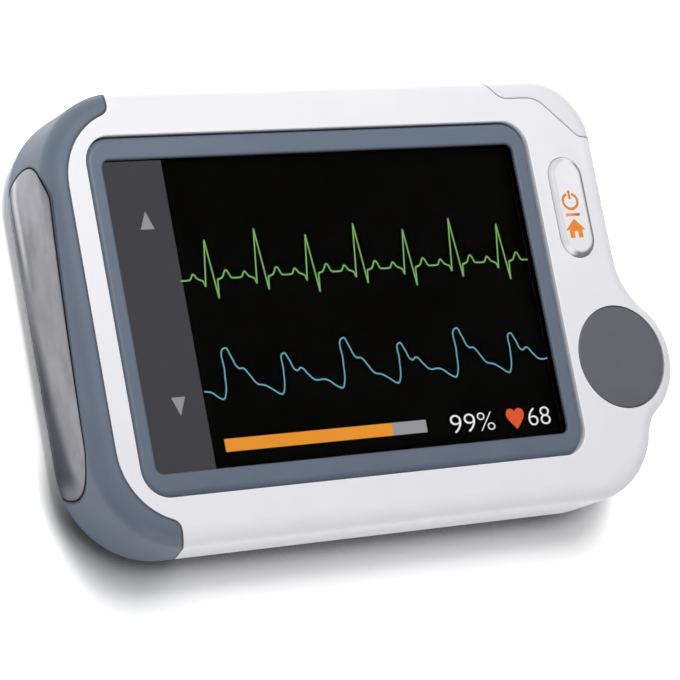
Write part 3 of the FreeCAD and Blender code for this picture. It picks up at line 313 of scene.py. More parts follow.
@dataclass(frozen=True)
class ButtonCap(Moulded):
    """Plastic of the long button, with painted shade: its round edge is painted grey on the flank turned
    from the light, and painted a little darker on the lit flank to tone down its highlight.
    """

    middle: Point = (0.0, 0.0)
    half_run: float = 4.1 * MM
    # painted shade for the flank turned from the light, and a painted darkening for the lit flank
    shade: Color = (128, 128, 137)
    painted_dim: Color = (206, 206, 210)
    shade_toward: tuple[float, float, float] = (0.85, -0.53, 0.0)
    shade_lean: Point = (-0.2, 0.35)
    painted_dim_lean: Point = (-0.3, -0.8)
    rim_start: float = 1.8 * MM
    rim_full: float = 2.25 * MM

    def tint(self, graph: Graph, color: Socket) -> Socket:
        """Adds the painted shade on one flank and the painted darkening of the lit flank.

        Args:
            graph: The material's graph.
            color: Colour of the plain plastic.

        Returns:
            The colour socket.
        """
        x, y, _ = graph.axes()
        across = graph.compute("SUBTRACT", x, self.middle[0])
        along = graph.compute("SUBTRACT", y, self.middle[1])
        held = graph.compute("MAXIMUM", graph.compute("MINIMUM", along, self.half_run), -self.half_run)
        away = graph.add("ShaderNodeCombineXYZ")
        graph.link(across, away.inputs[0])
        graph.link(graph.compute("SUBTRACT", along, held), away.inputs[1])
        length = graph.add("ShaderNodeVectorMath", operation="LENGTH")
        graph.link(away.outputs[0], length.inputs[0])
        toward = graph.add("ShaderNodeVectorMath", operation="DOT_PRODUCT")
        graph.link(away.outputs[0], toward.inputs[0])
        toward.inputs[1].default_value = self.shade_toward
        # painted shade by place: grey on the round edge's flank that faces +X and -Y, a little darker on the
        # opposite, lit flank
        rim = graph.ramp(length.outputs["Value"], self.rim_start, self.rim_full)
        lean = graph.compute("DIVIDE", toward.outputs["Value"], length.outputs["Value"])
        painted_dim = graph.compute("MULTIPLY", rim, graph.ramp(lean, *self.painted_dim_lean))
        color = graph.blend(painted_dim, color, linear(self.painted_dim))
        shade = graph.compute("MULTIPLY", rim, graph.ramp(lean, *self.shade_lean))
        return graph.blend(shade, color, linear(self.shade))


@dataclass(frozen=True)
class Metal:
    """Bare or plated metal with a faintly patchy, fine-grained surface."""

    name: str
    color: Color
    roughness: float = 0.35
    unevenness: float = 0.06
    patches: float = 0.1
    patch_size: float = 5 * MM
    patch_stretch: tuple[float, float, float] = (1.0, 1.0, 1.0)
    grain_size: float = 0.2 * MM
    grain_depth: float = 0.004 * MM

    def tint(self, graph: Graph, color: Socket) -> Socket:
        """Gives the colour with what a plate adds to it."""
        return color

    def build(self) -> bpy.types.Material:
        """Makes the material."""
        graph = Graph(self.name)
        base = linear(self.color)
        patches = graph.spread(graph.noise(self.patch_size, 4.0, self.patch_stretch), 0.0, 1.0)
        color = graph.blend(patches, scaled(base, 1 - self.patches), scaled(base, 1 + self.patches))
        graph.link(self.tint(graph, color), graph.shader.inputs["Base Color"])
        low, high = self.roughness - self.unevenness, self.roughness + self.unevenness
        rough = graph.spread(graph.noise(self.patch_size / 2, 3.0), low, high)
        graph.link(rough, graph.shader.inputs["Roughness"])
        graph.bump(graph.noise(self.grain_size), self.grain_depth)
        graph.set(Metallic=1.0)
        return graph.material


@dataclass(frozen=True)
class PalmPlate(Metal):
    """Metal of the left electrode, with painted light: a painted reflection of the floor's shadow darkens it
    towards its lower rear edge, a painted highlight runs along its upper rear edge beside a painted dark
    line, and painted shade lies along its edges.
    """

    # painted colours: shade for the painted reflection of shadow, the dark line and the rim, gleam for the
    # painted highlight
    shade: Color = (34, 37, 46)
    gleam: Color = (146, 146, 149)
    shade_rise: float = 3.9 * MM
    shade_slope: float = -0.06
    shade_bend: float = 6.0
    shade_soft: float = 1.2 * MM
    shade_upper: Point = (13 * MM, -8 * MM)
    shade_lower: Point = (-20 * MM, -17 * MM)
    gleam_rise: float = 4.0 * MM
    gleam_half: float = 0.9 * MM
    fold_rise: float = 2.9 * MM
    fold_half: float = 0.3 * MM
    stripe_lower: Point = (4 * MM, 12 * MM)
    edge_width: float = 0.3 * MM

    def tint(self, graph: Graph, color: Socket) -> Socket:
        """Adds the painted reflection of shadow, the painted highlight and dark line, and the painted shade
        along the rim.

        Args:
            graph: The material's graph.
            color: Colour of the plain metal.

        Returns:
            The colour socket.
        """
        _, y, z = graph.axes()
        bend = graph.compute("MULTIPLY", graph.compute("MULTIPLY", y, y), self.shade_bend)
        line = graph.compute("ADD", graph.compute("MULTIPLY", y, self.shade_slope), bend)
        above = graph.compute("SUBTRACT", graph.compute("SUBTRACT", z, line), self.shade_rise)
        # painted highlight (gleam) and painted dark line (fold) along the upper rear edge
        gleam = (self.gleam_rise, self.gleam_half, self.gleam)
        fold = (self.fold_rise, self.fold_half, self.shade)
        for rise, half, stripe in (gleam, fold):
            off = graph.compute("ABSOLUTE", graph.compute("SUBTRACT", z, rise))
            part = graph.compute("MULTIPLY", graph.ramp(off, half, 0.0), graph.ramp(y, *self.stripe_lower))
            color = graph.blend(part, color, linear(stripe))
        # painted reflection of the floor's shadow, darker towards the lower rear edge
        dark = graph.ramp(above, self.shade_soft, -self.shade_soft)
        for fade in (self.shade_upper, self.shade_lower):
            dark = graph.compute("MULTIPLY", dark, graph.ramp(y, *fade))
        color = graph.blend(dark, color, linear(self.shade))
        # painted shade beside the plate's sharp edges
        return graph.blend(graph.edge(self.edge_width), color, linear(self.shade))


@dataclass(frozen=True)
class Clear:
    """Clear or tinted glass or resin."""

    name: str
    color: Color
    ior: float = 1.45
    clouds: float = 0.03
    dust: float = 0.02

    def build(self) -> bpy.types.Material:
        """Makes the material."""
        graph = Graph(self.name)
        base = linear(self.color)
        clouds = graph.spread(graph.noise(8 * MM), 0.0, 1.0)
        color = graph.blend(clouds, base, scaled(base, 1 - self.clouds))
        graph.link(color, graph.shader.inputs["Base Color"])
        rough = graph.spread(graph.noise(3 * MM, 3.0), 0.0, self.dust)
        graph.link(rough, graph.shader.inputs["Roughness"])
        graph.set(Transmission_Weight=1.0, IOR=self.ior)
        return graph.material


@dataclass(frozen=True)
class Lit:
    """Part of the picture on the screen: it glows in its own colour, with the fine grid of the panel."""

    name: str
    color: Color
    pixel: float = 0.12 * MM
    fade: float = 0.05

    def build(self) -> bpy.types.Material:
        """Makes the material."""
        graph = Graph(self.name)
        base = linear(self.color)
        grid = graph.add("ShaderNodeTexChecker", Scale=1.0 / self.pixel)
        graph.link(graph.place(), grid.inputs["Vector"])
        glow = graph.blend(grid.outputs["Fac"], base, scaled(base, 1 - self.fade))
        graph.link(glow, graph.shader.inputs["Emission Color"])
        graph.set(Base_Color=grey(0.0), Emission_Strength=1.0, Roughness=0.5, Specular_IOR_Level=0.0)
        return graph.material


@dataclass(frozen=True)
class Printed:
    """Ink printed on a surface: a flat colour, faintly uneven, with a little gloss."""

    name: str
    color: Color
    roughness: float = 0.5
    blot_size: float = 0.5 * MM
    grain_size: float = 0.1 * MM
    grain_depth: float = 0.002 * MM

    def build(self) -> bpy.types.Material:
        """Makes the material."""
        graph = Graph(self.name)
        base = linear(self.color)
        thin = (*[min(1.0, c * 1.12 + 0.01) for c in base[:3]], 1.0)
        blots = graph.spread(graph.noise(self.blot_size, 3.0), 0.0, 1.0)
        graph.link(graph.blend(blots, base, thin), graph.shader.inputs["Base Color"])
        graph.bump(graph.noise(self.grain_size), self.grain_depth)
        graph.set(Roughness=self.roughness)
        return graph.material


# ---------------------------------------------------------------- modelling
def only(piece: bpy.types.Object) -> bpy.types.Object:
    """Selects one object alone and makes it active.

    Args:
        piece: The object.

    Returns:
        The same object.
    """
    bpy.ops.object.select_all(action="DESELECT")
    piece.select_set(True)
    bpy.context.view_layer.objects.active = piece
    return piece


def fresh() -> bpy.types.Object:
    """Gives the object that the last operator added."""
    return bpy.context.object


def apply_place(piece: bpy.types.Object) -> None:
    """Writes an object's place, turn and scale into its mesh."""
    only(piece)
    bpy.ops.object.transform_apply(location=True, rotation=True, scale=True)


def to_mesh(piece: bpy.types.Object) -> bpy.types.Object:
    """Turns a curve or text object into a clean mesh.

    Args:
        piece: The curve or text object.

    Returns:
        The mesh object.
    """
    only(piece)
    bpy.ops.object.convert(target="MESH")
    piece = bpy.context.object
    bpy.ops.object.mode_set(mode="EDIT")
    bpy.ops.mesh.select_all(action="SELECT")
    bpy.ops.mesh.remove_doubles(threshold=1e-7)
    bpy.ops.mesh.normals_make_consistent(inside=False)
    bpy.ops.object.mode_set(mode="OBJECT")
    return piece


def dress(node: str, material: bpy.types.Material) -> None:
    """Gives a CAD node its material.

    Args:
        node: Name of the node.
        material: What it gets on all its faces.
    """
    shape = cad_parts[node]
    if not shape.material_slots:
        shape.data.materials.append(material)
    for slot in shape.material_slots:
        slot.material = material


def hand_over(
    piece: bpy.types.Object, name: str, body: Body, material: bpy.types.Material
) -> None:
    """Finishes a new piece: names it, dresses it and lets it ride on its body.

    Args:
        piece: The mesh object, with its place already in its mesh.
        name: Its name.
        body: The body it moves with.
        material: Its material.
    """
    piece.name = name
    piece.data.name = name
    piece.data.materials.clear()
    piece.data.materials.append(material)
    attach(piece, body.value)
    log.info("%s: %d faces on %s", name, len(piece.data.polygons), body.value)


def stroke(
    points: Sequence[Point], width: float, z: float, thick: float, curved: bool = False
) -> bpy.types.Object:
    """Draws a flat line with round ends.

    Args:
        points: Its corners, in millimetres.
        width: Its width, in millimetres.
        z: Height of its middle, in millimetres.
        thick: Its thickness, in millimetres.
        curved: Whether it runs smoothly through its points.

    Returns:
        The mesh object, at its place.
    """
    bpy.ops.object.select_all(action="DESELECT")
    bpy.ops.curve.primitive_bezier_curve_add(location=(0.0, 0.0, 0.0))
    line = fresh()
    line.data.splines.clear()
    if curved:
        spline = line.data.splines.new("BEZIER")
        spline.bezier_points.add(len(points) - 1)
        for knot, (x, y) in zip(spline.bezier_points, points):
            knot.co = (x * MM, y * MM, 0.0)
            knot.handle_left_type = knot.handle_right_type = "AUTO"
    else:
        for run in zip(points, points[1:]):
            spline = line.data.splines.new("POLY")
            spline.points.add(1)
            for knot, (x, y) in zip(spline.points, run):
                knot.co = (x * MM, y * MM, 0.0, 1.0)
    line.data.bevel_depth = width / 2 * MM
    line.data.bevel_resolution = 3
    line.data.use_fill_caps = True
    line = to_mesh(line)
    line.scale.z = thick / width
    line.location.z = z * MM
    apply_place(line)
    return line


def flat_shape(outline: Sequence[Point], z: float, thick: float) -> bpy.types.Object:
    """Makes a thin plate from its corners.

    Args:
        outline: Its corners in turn, in millimetres.
        z: Height of its underside, in millimetres.
        thick: Its thickness, in millimetres.

    Returns:
        The mesh object, at its place.
    """
    bpy.ops.object.select_all(action="DESELECT")
    bpy.ops.mesh.primitive_circle_add(vertices=len(outline), radius=MM, fill_type="NGON")
    plate = fresh()
    for corner, (x, y) in zip(plate.data.vertices, outline):
        corner.co = (x * MM, y * MM, z * MM)
    bpy.ops.object.mode_set(mode="EDIT")
    bpy.ops.mesh.select_all(action="SELECT")
    bpy.ops.mesh.extrude_region_move(TRANSFORM_OT_translate={"value": (0.0, 0.0, thick * MM)})
    bpy.ops.mesh.select_all(action="SELECT")
    bpy.ops.mesh.normals_make_consistent(inside=False)
    bpy.ops.object.mode_set(mode="OBJECT")
    return plate


def rectangle(x0: float, x1: float, y0: float, y1: float) -> list[Point]:
    """Lists the corners of an upright rectangle."""
    return [(x0, y0), (x1, y0), (x1, y1), (x0, y1)]


# ---------------------------------------------------------------- screen picture
@dataclass
class HeartTrace:
    """Electrical trace of the heart: a row of beats that alternate between strong and weak."""

    first: float = -22.95
    pitch: float = 7.28
    count: int = 7
    base: float = 4.28
    drift: float = -0.017
    heights: Point = (4.95, 6.05)
    dips: Point = (-2.45, -1.75)
    start: float = -27.2
    end: float = 24.9

    def beat(self, index: int) -> list[Point]:
        """Lists one beat's corners, from before its small first wave to the rest after its last.

        Args:
            index: Number of the beat, from 0.

        Returns:
            Points in millimetres on the screen.
        """
        strong = index % 2
        shape = [
            (-3.2, 0.0), (-2.85, 0.1), (-2.62, 0.55), (-2.42, 0.78), (-2.22, 0.6), (-1.9, 0.1),
            (-1.25, -0.12), (-1.1, -0.3), (-0.92, -0.92), (0.0, self.heights[strong]),
            (0.66, self.dips[strong]), (0.92, -0.05), (1.5, 0.05), (1.75, 0.3), (2.1, 0.95),
            (2.3, 1.08), (2.5, 0.85), (2.8, 0.12), (3.0, 0.0),
        ]
        x0, y0 = self.first + index * self.pitch, self.base + index * self.drift
        return [(x0 + x, y0 + y) for x, y in shape]

    def points(self) -> list[Point]:
        """Lists the whole trace's corners.

        Returns:
            Points in millimetres on the screen.
        """
        beats = [point for index in range(self.count) for point in self.beat(index)]
        last = self.base + self.count * self.drift
        return [(self.start, self.base), *beats, (self.end, last)]


@dataclass
class PulseTrace:
    """Trace of the blood's oxygen: tall and low pulses in turn, each with a second hump."""

    start: float = -26.7
    first: float = -24.21
    pitch: float = 17.1
    pairs: int = 3
    rest: float = -10.5
    rise: float = 0.0065
    lead_in: tuple[Point, ...] = ((0.0, 1.0), (1.0, 0.8))
    last_wave: float = 24.4
    level_start: float = 24.8
    end: float = 26.0

    def pair(self, index: int) -> list[Point]:
        """Lists the points of one tall and one low pulse.

        Args:
            index: Number of the pair, from 0.

        Returns:
            Points in millimetres on the screen.
        """
        tall = [(-0.55, 0.08), (0.0, -0.1), (0.42, 0.5), (0.8, 3.2), (1.4, 6.15), (2.0, 5.2), (2.9, 3.5),
                (3.45, 3.5), (4.2, 2.6), (5.2, 1.35), (6.0, 1.2), (7.2, 0.5)]
        low = [(8.0, -0.05), (8.35, -0.1), (8.75, 0.5), (9.1, 2.8), (9.55, 4.95), (10.1, 4.2), (11.0, 2.65),
               (11.65, 2.95), (12.5, 2.1), (13.4, 1.3), (14.9, 1.25)]
        x0 = self.first + index * self.pitch
        base = self.rest + (x0 - self.first) * self.rise
        return [(x0 + x, base + y) for x, y in tall + low]

    def points(self) -> list[Point]:
        """Lists the whole trace's points, level past the last wave.

        Returns:
            Points in millimetres on the screen.
        """
        pulses = [point for index in range(self.pairs) for point in self.pair(index)]
        ahead = [(self.start + x, self.rest + y) for x, y in self.lead_in]
        shown = [(x, y) for x, y in pulses if x < self.last_wave]
        level = shown[-1][1]
        return [*ahead, *shown, (self.level_start, level), (self.end, level)]


@dataclass
class Screen:
    """Lit picture between the display and its glass.

    Boxes on it are given as left, right, lower and upper side, in millimetres.
    """

    low: float = 10.68
    thick: float = 0.02
    words_rise: float = 0.03
    words_thinner: float = 0.016
    strip_right: float = -26.95
    arrow_up: tuple[Point, ...] = ((-31.4, 10.93), (-29.48, 10.93), (-30.38, 13.18))
    arrow_down: tuple[Point, ...] = ((-31.38, -9.88), (-30.48, -12.16), (-29.48, -9.88))
    heart_line: float = 0.19
    pulse_line: float = 0.18
    bar: tuple[float, float, float, float] = (-25.16, 4.16, -17.06, -15.46)
    bar_share: float = 0.825
    share_box: tuple[float, float, float, float] = (7.8, 14.52, -17.58, -15.23)
    rate_box: tuple[float, float, float, float] = (19.84, 23.28, -17.54, -15.24)
    heart_top: Point = (17.86, -15.15)
    heart_size: Point = (2.78, 2.66)
    strip_grey: Color = (70, 70, 74)
    arrow_grey: Color = (152, 152, 154)
    bar_grey: Color = (155, 155, 160)
    bar_orange: Color = (238, 152, 52)
    words_white: Color = (240, 240, 240)
    trace_green: Color = (130, 190, 100)
    trace_blue: Color = (110, 180, 200)
    heart_red: Color = (225, 90, 50)
    heart_trace: HeartTrace = field(default_factory=HeartTrace)
    pulse_trace: PulseTrace = field(default_factory=PulseTrace)

    def build(self) -> None:
        """Makes the picture's pieces and dresses the display, its glass and its seals."""
        self.strip()
        self.traces()
        self.progress()
        self.readings()
        black = Moulded("display black", (3, 3, 2), 0.6, clouds=0.3, grain_depth=0.0, specular=0.0)
        dress("display_panel", black.build())
        dress("touch_glass", Clear("cover glass", (250, 250, 250), ior=1.06, dust=0.0).build())
        foam = Moulded("black foam", (8, 8, 9), 0.8, specular=0.1, clouds=0.2, grain_depth=0.02 * MM)
        dress("glass_gasket", foam.build())
        dress("backlight", Moulded("milky diffuser", (236, 236, 236), 0.5).build())

    def lit(self, piece: bpy.types.Object, name: str, color: Color) -> None:
        """Hands over a piece that glows in one colour."""
        hand_over(piece, name, Body.CASE, Lit(name.replace("_", " "), color).build())

    def strip(self) -> None:
        """Makes the grey strip at the left with its two arrows."""
        low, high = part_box("display_panel")
        left, bottom, top = low.x / MM, low.y / MM, high.y / MM
        strip = flat_shape(rectangle(left, self.strip_right, bottom, top), self.low, self.thick)
        self.lit(strip, "side_strip", self.strip_grey)
        z = self.low + 2 * self.thick
        self.lit(flat_shape(self.arrow_up, z, self.thick), "arrow_up", self.arrow_grey)
        self.lit(flat_shape(self.arrow_down, z, self.thick), "arrow_down", self.arrow_grey)

    def traces(self) -> None:
        """Draws both traces."""
        z = self.low + 3 * self.thick
        heart = stroke(self.heart_trace.points(), self.heart_line, z, self.thick)
        self.lit(heart, "heart_trace", self.trace_green)
        pulse = stroke(self.pulse_trace.points(), self.pulse_line, z, self.thick, curved=True)
        self.lit(pulse, "pulse_trace", self.trace_blue)

    def progress(self) -> None:
        """Makes the progress bar: the part done and the part left."""
        x0, x1, y0, y1 = self.bar
        split = x0 + (x1 - x0) * self.bar_share
        self.lit(flat_shape(rectangle(x0, split, y0, y1), self.low, self.thick), "bar_done", self.bar_orange)
        self.lit(flat_shape(rectangle(split, x1, y0, y1), self.low, self.thick), "bar_left", self.bar_grey)

    def readings(self) -> None:
        """Writes the two readings and the heart sign between them."""
        self.lit(self.number("99%", self.share_box), "reading_share", self.words_white)
        self.lit(self.number("68", self.rate_box), "reading_rate", self.words_white)
        self.lit(self.heart(), "heart_sign", self.heart_red)

    def number(self, words: str, box: tuple[float, float, float, float]) -> bpy.types.Object:
        """Writes a number so that it fills a box.

        Args:
            words: What is written.
            box: The box on the screen.

        Returns:
            The mesh object, at its place.
        """
        x0, x1, y0, y1 = box
        bpy.ops.object.select_all(action="DESELECT")
        bpy.ops.object.text_add(location=(0.0, 0.0, 0.0))
        text = fresh()
        text.data.body = words
        text.data.extrude = self.thick / 2
        text.data.offset = -self.words_thinner
        text = to_mesh(text)
        xs = [v.co.x for v in text.data.vertices]
        ys = [v.co.y for v in text.data.vertices]
        wide, high = max(xs) - min(xs), max(ys) - min(ys)
        text.scale = ((x1 - x0) * MM / wide, (y1 - y0) * MM / high, MM)
        left, bottom = x0 * MM - min(xs) * text.scale.x, y0 * MM - min(ys) * text.scale.y
        text.location = (left, bottom, (self.low + self.words_rise) * MM)
        apply_place(text)
        return text

    def heart(self) -> bpy.types.Object:
        """Makes the filled heart, drawn one unit wide and high under its top and then scaled.

        Returns:
            The mesh object, at its place.
        """
        bpy.ops.object.select_all(action="DESELECT")
        bpy.ops.curve.primitive_bezier_circle_add(radius=1.0, location=(0.0, 0.0, 0.0))
        heart = fresh()
        heart.data.dimensions = "2D"
        heart.data.fill_mode = "BOTH"
        heart.data.extrude = self.thick / 2
        left, notch, right, tip = heart.data.splines[0].bezier_points
        for knot in (left, notch, right, tip):
            knot.handle_left_type = knot.handle_right_type = "FREE"
        knots = (
            (left, (-0.5, -0.28), (-0.5, -0.5), (-0.5, 0.09)),
            (notch, (0.0, -0.14), (-0.1, 0.09), (0.1, 0.09)),
            (right, (0.5, -0.28), (0.5, 0.09), (0.5, -0.5)),
            (tip, (0.0, -1.0), (0.1, -0.86), (-0.1, -0.86)),
        )
        for knot, place, before, after in knots:
            knot.co = (*place, 0.0)
            knot.handle_left = (*before, 0.0)
            knot.handle_right = (*after, 0.0)
        heart = to_mesh(heart)
        (width, height), (x, top) = self.heart_size, self.heart_top
        heart.scale = (width * MM, height * MM, MM)
        heart.location = (x * MM, top * MM, (self.low + self.words_rise) * MM)
        apply_place(heart)
        return heart


# ---------------------------------------------------------------- home button
@dataclass
class HomeButton:
    """Long button with its printed signs: switching on, and going home."""

    x: float = 31.32
    ring_y: float = 10.95
    ring_half_width: float = 1.16
    ring_half_height: float = 1.03
    ring_gap: float = 20.0
    bar_top: float = 12.4
    bar_foot: float = 11.25
    divider_y: float = 9.14
    divider_half: float = 1.1
    line: float = 0.38
    thick: float = 0.02
    white: Color = (237, 237, 241)
    ink: Color = (233, 132, 34)

    def build(self) -> None:
        """Dresses the button and prints its signs."""
        low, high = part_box("home_button")
        middle = ((low.x + high.x) / 2, (low.y + high.y) / 2)
        dress("home_button", ButtonCap("button plastic", self.white, 0.38, middle=middle).build())
        ink = Printed("orange ink", self.ink).build()
        z = high.z / MM
        bar = [(self.x, self.bar_top), (self.x, self.bar_foot)]
        left, right = self.x - self.divider_half, self.x + self.divider_half
        divider = [(left, self.divider_y), (right, self.divider_y)]
        signs = {
            "sign_ring": stroke(self.ring(), self.line, z, self.thick),
            "sign_bar": stroke(bar, self.line, z, self.thick),
            "sign_divider": stroke(divider, self.line, z, self.thick),
            "sign_house": flat_shape(self.house(), z - self.thick / 2, self.thick),
        }
        for name, sign in signs.items():
            hand_over(sign, name, Body.BUTTON, ink)

    def ring(self, steps: int = 40) -> list[Point]:
        """Lists the points of the ring, which is open at its top.

        Args:
            steps: Number of its straight runs.

        Returns:
            Points in millimetres.
        """
        gap = math.radians(self.ring_gap)
        turns = [math.pi / 2 + gap + 2 * (math.pi - gap) * i / steps for i in range(steps + 1)]
        wide, high = self.ring_half_width, self.ring_half_height
        return [(self.x + wide * math.cos(t), self.ring_y + high * math.sin(t)) for t in turns]

    def house(self) -> list[Point]:
        """Lists the corners of the house, with its roof and its door."""
        apex, eave, wall_top, under, lintel, foot = 8.6, 7.15, 7.18, 6.98, 6.9, 6.03
        roof, roof_corner, wall, door = 1.48, 1.36, 1.03, 0.29
        right = [
            (door, lintel), (door, foot), (wall, foot), (wall, wall_top), (roof_corner, under), (roof, eave),
        ]
        left = [(-x, y) for x, y in reversed(right)]
        return [(self.x + x, y) for x, y in [*right, (0.0, apex), *left]]


# ---------------------------------------------------------------- case
@dataclass
class Case:
    """Outside of the case: covers, bumper, cap, bezel and screws."""

    white: Color = (237, 237, 241)

    def build(self) -> None:
        """Dresses the outer pieces."""
        white = Moulded("white plastic", self.white, 0.4, clouds=0.012).build()
        for node in ("front_cover", "rear_cover"):
            dress(node, white)
        # cap, bumper and bezel get painted shade beside their sharp edges (edge_shade)
        cap = Moulded(
            "cap plastic", (233, 232, 237), 0.4, clouds=0.015, edge_width=0.25 * MM, edge_shade=0.7
        )
        dress("corner_cap", cap.build())
        bumper = Moulded(
            "bumper plastic", (101, 112, 127), 0.5, specular=0.2, edge_width=0.32 * MM, edge_shade=0.45
        )
        dress("left_bumper", bumper.build())
        bezel = Moulded(
            "bezel plastic", (102, 113, 128), 0.4, specular=0.25, edge_width=0.4 * MM, edge_shade=0.5
        )
        dress("bezel", bezel.build())
        dress("case_screws", Metal("screw steel", (150, 150, 152), 0.4).build())


@dataclass
class Electrodes:
    """Metal that the fingers touch."""

    def build(self) -> None:
        """Dresses the electrodes and their contacts."""
        plate = PalmPlate(
            "electrode metal", (100, 100, 104), 0.36, patches=0.22,
            patch_size=3.2 * MM, patch_stretch=(1.0, 0.45, 1.0),
        )
        dress("left_electrode", plate.build())
        dress("rear_electrode", Metal("rear metal", (176, 178, 184), 0.36, patches=0.08).build())
        # the thumb pad gets painted shade beside its edges (edge_shade)
        pad = Moulded(
            "thumb coating", (100, 100, 108), 0.5, clouds=0.05, grain_depth=0.006 * MM,
            edge_width=0.3 * MM, edge_shade=0.55,
        )
        dress("thumb_electrode", pad.build())
        gold = Metal("gold plate", (214, 178, 98), 0.25).build()
        for node in ("thumb_contact_pin", "rear_contact_pin", "side_contact_spring", "speaker_contacts"):
            dress(node, gold)


@dataclass
class Insides:
    """Board, battery, speaker, sensors and the rest behind the covers."""

    button_travel: float = 0.35 * MM

    def finishes(self) -> dict[str, Callable[[], bpy.types.Material]]:
        """Gives each inner node the way to make its material.

        Returns:
            The makers by node. Nodes that share a maker share the material.
        """
        chip = Moulded("chip epoxy", (32, 32, 34), 0.45, clouds=0.1)
        steel = Metal("pressed steel", (168, 168, 170), 0.35)
        black = Moulded("black moulding", (38, 38, 40), 0.5, clouds=0.06)
        ivory = Moulded("ivory moulding", (222, 214, 196), 0.5)
        rubber = Moulded("black rubber", (40, 40, 42), 0.7, clouds=0.1)
        resin = Clear("red resin", (120, 20, 24), ior=1.5)
        amber = Moulded("amber film", (176, 118, 48), 0.35, clouds=0.08)
        board = Moulded("solder mask", (22, 88, 44), 0.35, clouds=0.12, cloud_size=1.2 * MM)
        return {
            "inner_frame": steel.build, "radio_shield": steel.build, "switch_dome": steel.build,
            "port_shell": steel.build, "temperature_sensor": steel.build,
            "processor": chip.build, "memory_chip": chip.build, "oximeter_chips": chip.build,
            "small_parts": Moulded("ceramic parts", (150, 120, 90), 0.5, clouds=0.2).build,
            "switch_housing": black.build, "switch_plunger": black.build, "speaker": black.build,
            "port_tongue": black.build, "flex_connector": ivory.build, "battery_plug": ivory.build,
            "oximeter_plug": ivory.build, "sensor_sleeve": rubber.build, "speaker_gasket": rubber.build,
            "display_flex": amber.build, "main_board": board.build, "oximeter_board": board.build,
            "oximeter_lens": resin.build,
            "temperature_window": Moulded("dark filter", (26, 24, 30), 0.15).build,
            "battery": Metal("silver laminate", (190, 192, 196), 0.4, patches=0.06).build,
            "battery_tape": Moulded("double-sided tape", (226, 220, 205), 0.6).build,
            "battery_leads": Moulded("wire insulation", (150, 30, 28), 0.5).build,
        }

    def build(self) -> None:
        """Dresses every inner node, making each material once."""
        made: dict[object, bpy.types.Material] = {}
        for node, make in self.finishes().items():
            if make not in made:
                made[make] = make()
            dress(node, made[make])
        self.press_dome()

    def press_dome(self) -> None:
        """Gives the switch's dome its own copy of its mesh."""
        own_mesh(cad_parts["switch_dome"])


# ---------------------------------------------------------------- studio
@dataclass
class Studio:
    """Pale floor, soft light and the camera."""

    camera_place: tuple[float, float, float] = (-221.753, -70.619, 339.513)
    target: tuple[float, float, float] = (-3.021, -3.518, 6.0)
    roll: float = 10.728
    lens: float = 170.46
    sky: float = 0.2
    floor_size: float = 8.0
    floor_drop: float = 0.02 * MM  # keeps the floor clear of the back
    paper: Point = (0.84, 0.86)
    paper_clouds: float = 30 * MM
    shown_near: float = 1.6  # the paper's tone to the eye: painted brighter behind the monitor, which washes out its shadow there
    shown_far: float = 2.5
    shown_change: Point = (-34 * MM, -20 * MM)
    contact_shade: float = 0.22  # painted shadow: the paper darkened where the monitor covers it closely, along the front
    contact_reach: float = 5 * MM
    contact_open: float = 0.45
    contact_front: Point = (-10 * MM, -23 * MM)

    def build(self) -> None:
        """Sets up the whole studio."""
        self.floor()
        self.sky_light()
        self.lamp("key", (-0.01, 0.11, 0.26), 0.13, 0.62)
        self.lamp("side", (-0.42, 0.10, 0.04), 0.16, 0.58)
        self.lamp("fill", (-0.05, -0.45, 0.04), 0.16, 0.97)
        self.camera()
        bpy.context.scene.view_settings.view_transform = "Standard"

    def floor(self) -> None:
        """Lays the floor, which shows white where no shadow falls."""
        bpy.ops.object.select_all(action="DESELECT")
        bpy.ops.mesh.primitive_plane_add(size=self.floor_size, location=(0.0, 0.0, -self.floor_drop))
        floor = fresh()
        floor.name = "floor"
        graph = Graph("floor paper")
        clouds = graph.spread(graph.noise(self.paper_clouds), 0.0, 1.0)
        paper = graph.blend(clouds, *[grey(level) for level in self.paper])
        graph.link(paper, graph.shader.inputs["Base Color"])
        graph.set(Roughness=0.9, Specular_IOR_Level=0.0)
        bright = graph.add("ShaderNodeBsdfDiffuse")
        graph.link(self.shown_paper(graph), bright.inputs["Color"])
        rays = graph.add("ShaderNodeLightPath")
        eye = graph.compute("MAXIMUM", rays.outputs["Is Camera Ray"], rays.outputs["Is Glossy Ray"])
        eye = graph.compute("MAXIMUM", eye, rays.outputs["Is Transmission Ray"])
        mix = graph.add("ShaderNodeMixShader")
        for start, end in zip((eye, graph.shader.outputs[0], bright.outputs[0]), mix.inputs):
            graph.link(start, end)
        graph.link(mix.outputs[0], graph.tree.nodes["Material Output"].inputs["Surface"])
        floor.data.materials.append(graph.material)

    def shown_paper(self, graph: Graph) -> Socket:
        """Gives the paper's tone to the eye, painted brighter behind the monitor, with a painted contact
        shadow along the front.

        Args:
            graph: The floor material's graph.

        Returns:
            The colour socket.
        """
        _, y, _ = graph.axes()
        # painted light: brighter paper behind the monitor hides its shadow there
        paper = graph.blend(graph.ramp(y, *self.shown_change), grey(self.shown_near), grey(self.shown_far))
        # painted shadow: darker paper close to the monitor, along the front only
        around = graph.add("ShaderNodeAmbientOcclusion", samples=AO_SAMPLES, Distance=self.contact_reach)
        covered = graph.ramp(around.outputs["AO"], 1.0, self.contact_open)
        contact = graph.compute("MULTIPLY", covered, graph.ramp(y, *self.contact_front))
        return graph.blend(contact, paper, grey(self.contact_shade))

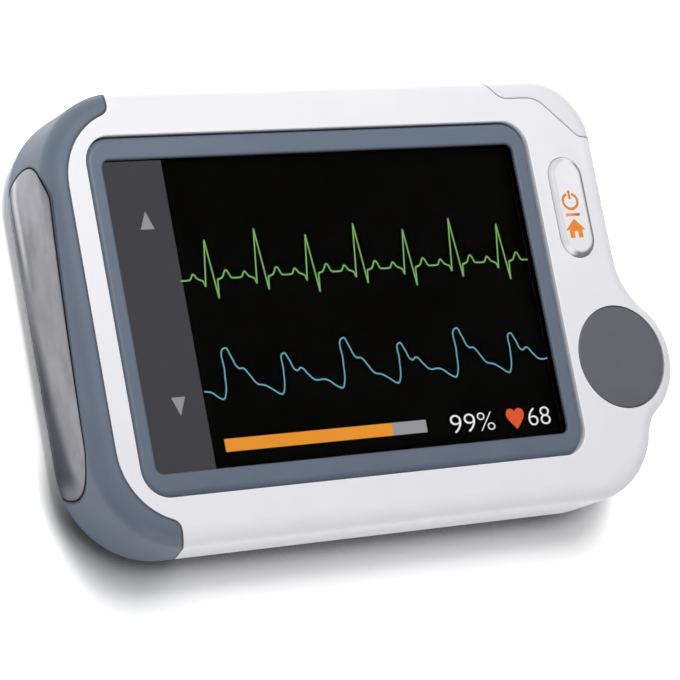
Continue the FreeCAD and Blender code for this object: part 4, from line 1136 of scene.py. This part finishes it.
    def sky_light(self) -> None:
        """Makes the world white to the eye and a little dimmer as a light."""
        world = bpy.data.worlds.new("studio sky")
        bpy.context.scene.world = world
        world.use_nodes = True
        tree = world.node_tree
        background = tree.nodes["Background"]
        rays = tree.nodes.new("ShaderNodeLightPath")
        seen = tree.nodes.new("ShaderNodeMath")
        seen.operation = "MAXIMUM"
        tree.links.new(rays.outputs["Is Camera Ray"], seen.inputs[0])
        tree.links.new(rays.outputs["Is Transmission Ray"], seen.inputs[1])
        level = tree.nodes.new("ShaderNodeMapRange")
        level.inputs["To Min"].default_value = self.sky
        level.inputs["To Max"].default_value = 1.0
        tree.links.new(seen.outputs[0], level.inputs["Value"])
        tree.links.new(level.outputs["Result"], background.inputs["Strength"])
        background.inputs["Color"].default_value = (1.0, 1.0, 1.0, 1.0)

    def lamp(self, name: str, place: tuple[float, float, float], size: float, watts: float) -> None:
        """Hangs a square soft lamp that faces the object.

        Args:
            name: Its name.
            place: Where it hangs, in metres.
            size: Its side, in metres.
            watts: Its power.
        """
        data = bpy.data.lights.new(name, "AREA")
        data.size = size
        data.energy = watts
        lamp = bpy.data.objects.new(name, data)
        lamp.location = place
        lamp.rotation_euler = (-Vector(place)).to_track_quat("-Z", "Y").to_euler()
        bpy.context.scene.collection.objects.link(lamp)

    def camera(self) -> None:
        """Places the camera, turned about its own line of sight by the roll."""
        data = bpy.data.cameras.new("camera")
        data.lens = self.lens
        data.clip_start, data.clip_end = 0.01, 20.0
        camera = bpy.data.objects.new("camera", data)
        place, target = Vector(self.camera_place) * MM, Vector(self.target) * MM
        ahead = (target - place).normalized()
        side = ahead.cross(Vector((0.0, 1.0, 0.0))).normalized()
        side.rotate(Matrix.Rotation(math.radians(self.roll), 3, ahead))
        up = side.cross(ahead)
        turn = Matrix((side, up, -ahead)).transposed()
        camera.matrix_world = Matrix.Translation(place) @ turn.to_4x4()
        bpy.context.scene.collection.objects.link(camera)
        bpy.context.scene.camera = camera


def main() -> None:
    """Builds the studio and the monitor's sub-assemblies in order."""
    for part in (Studio(), Case(), Screen(), HomeButton(), Electrodes(), Insides()):
        log.info("building %s", type(part).__name__)
        part.build()


if __name__ == "__main__":
    main()
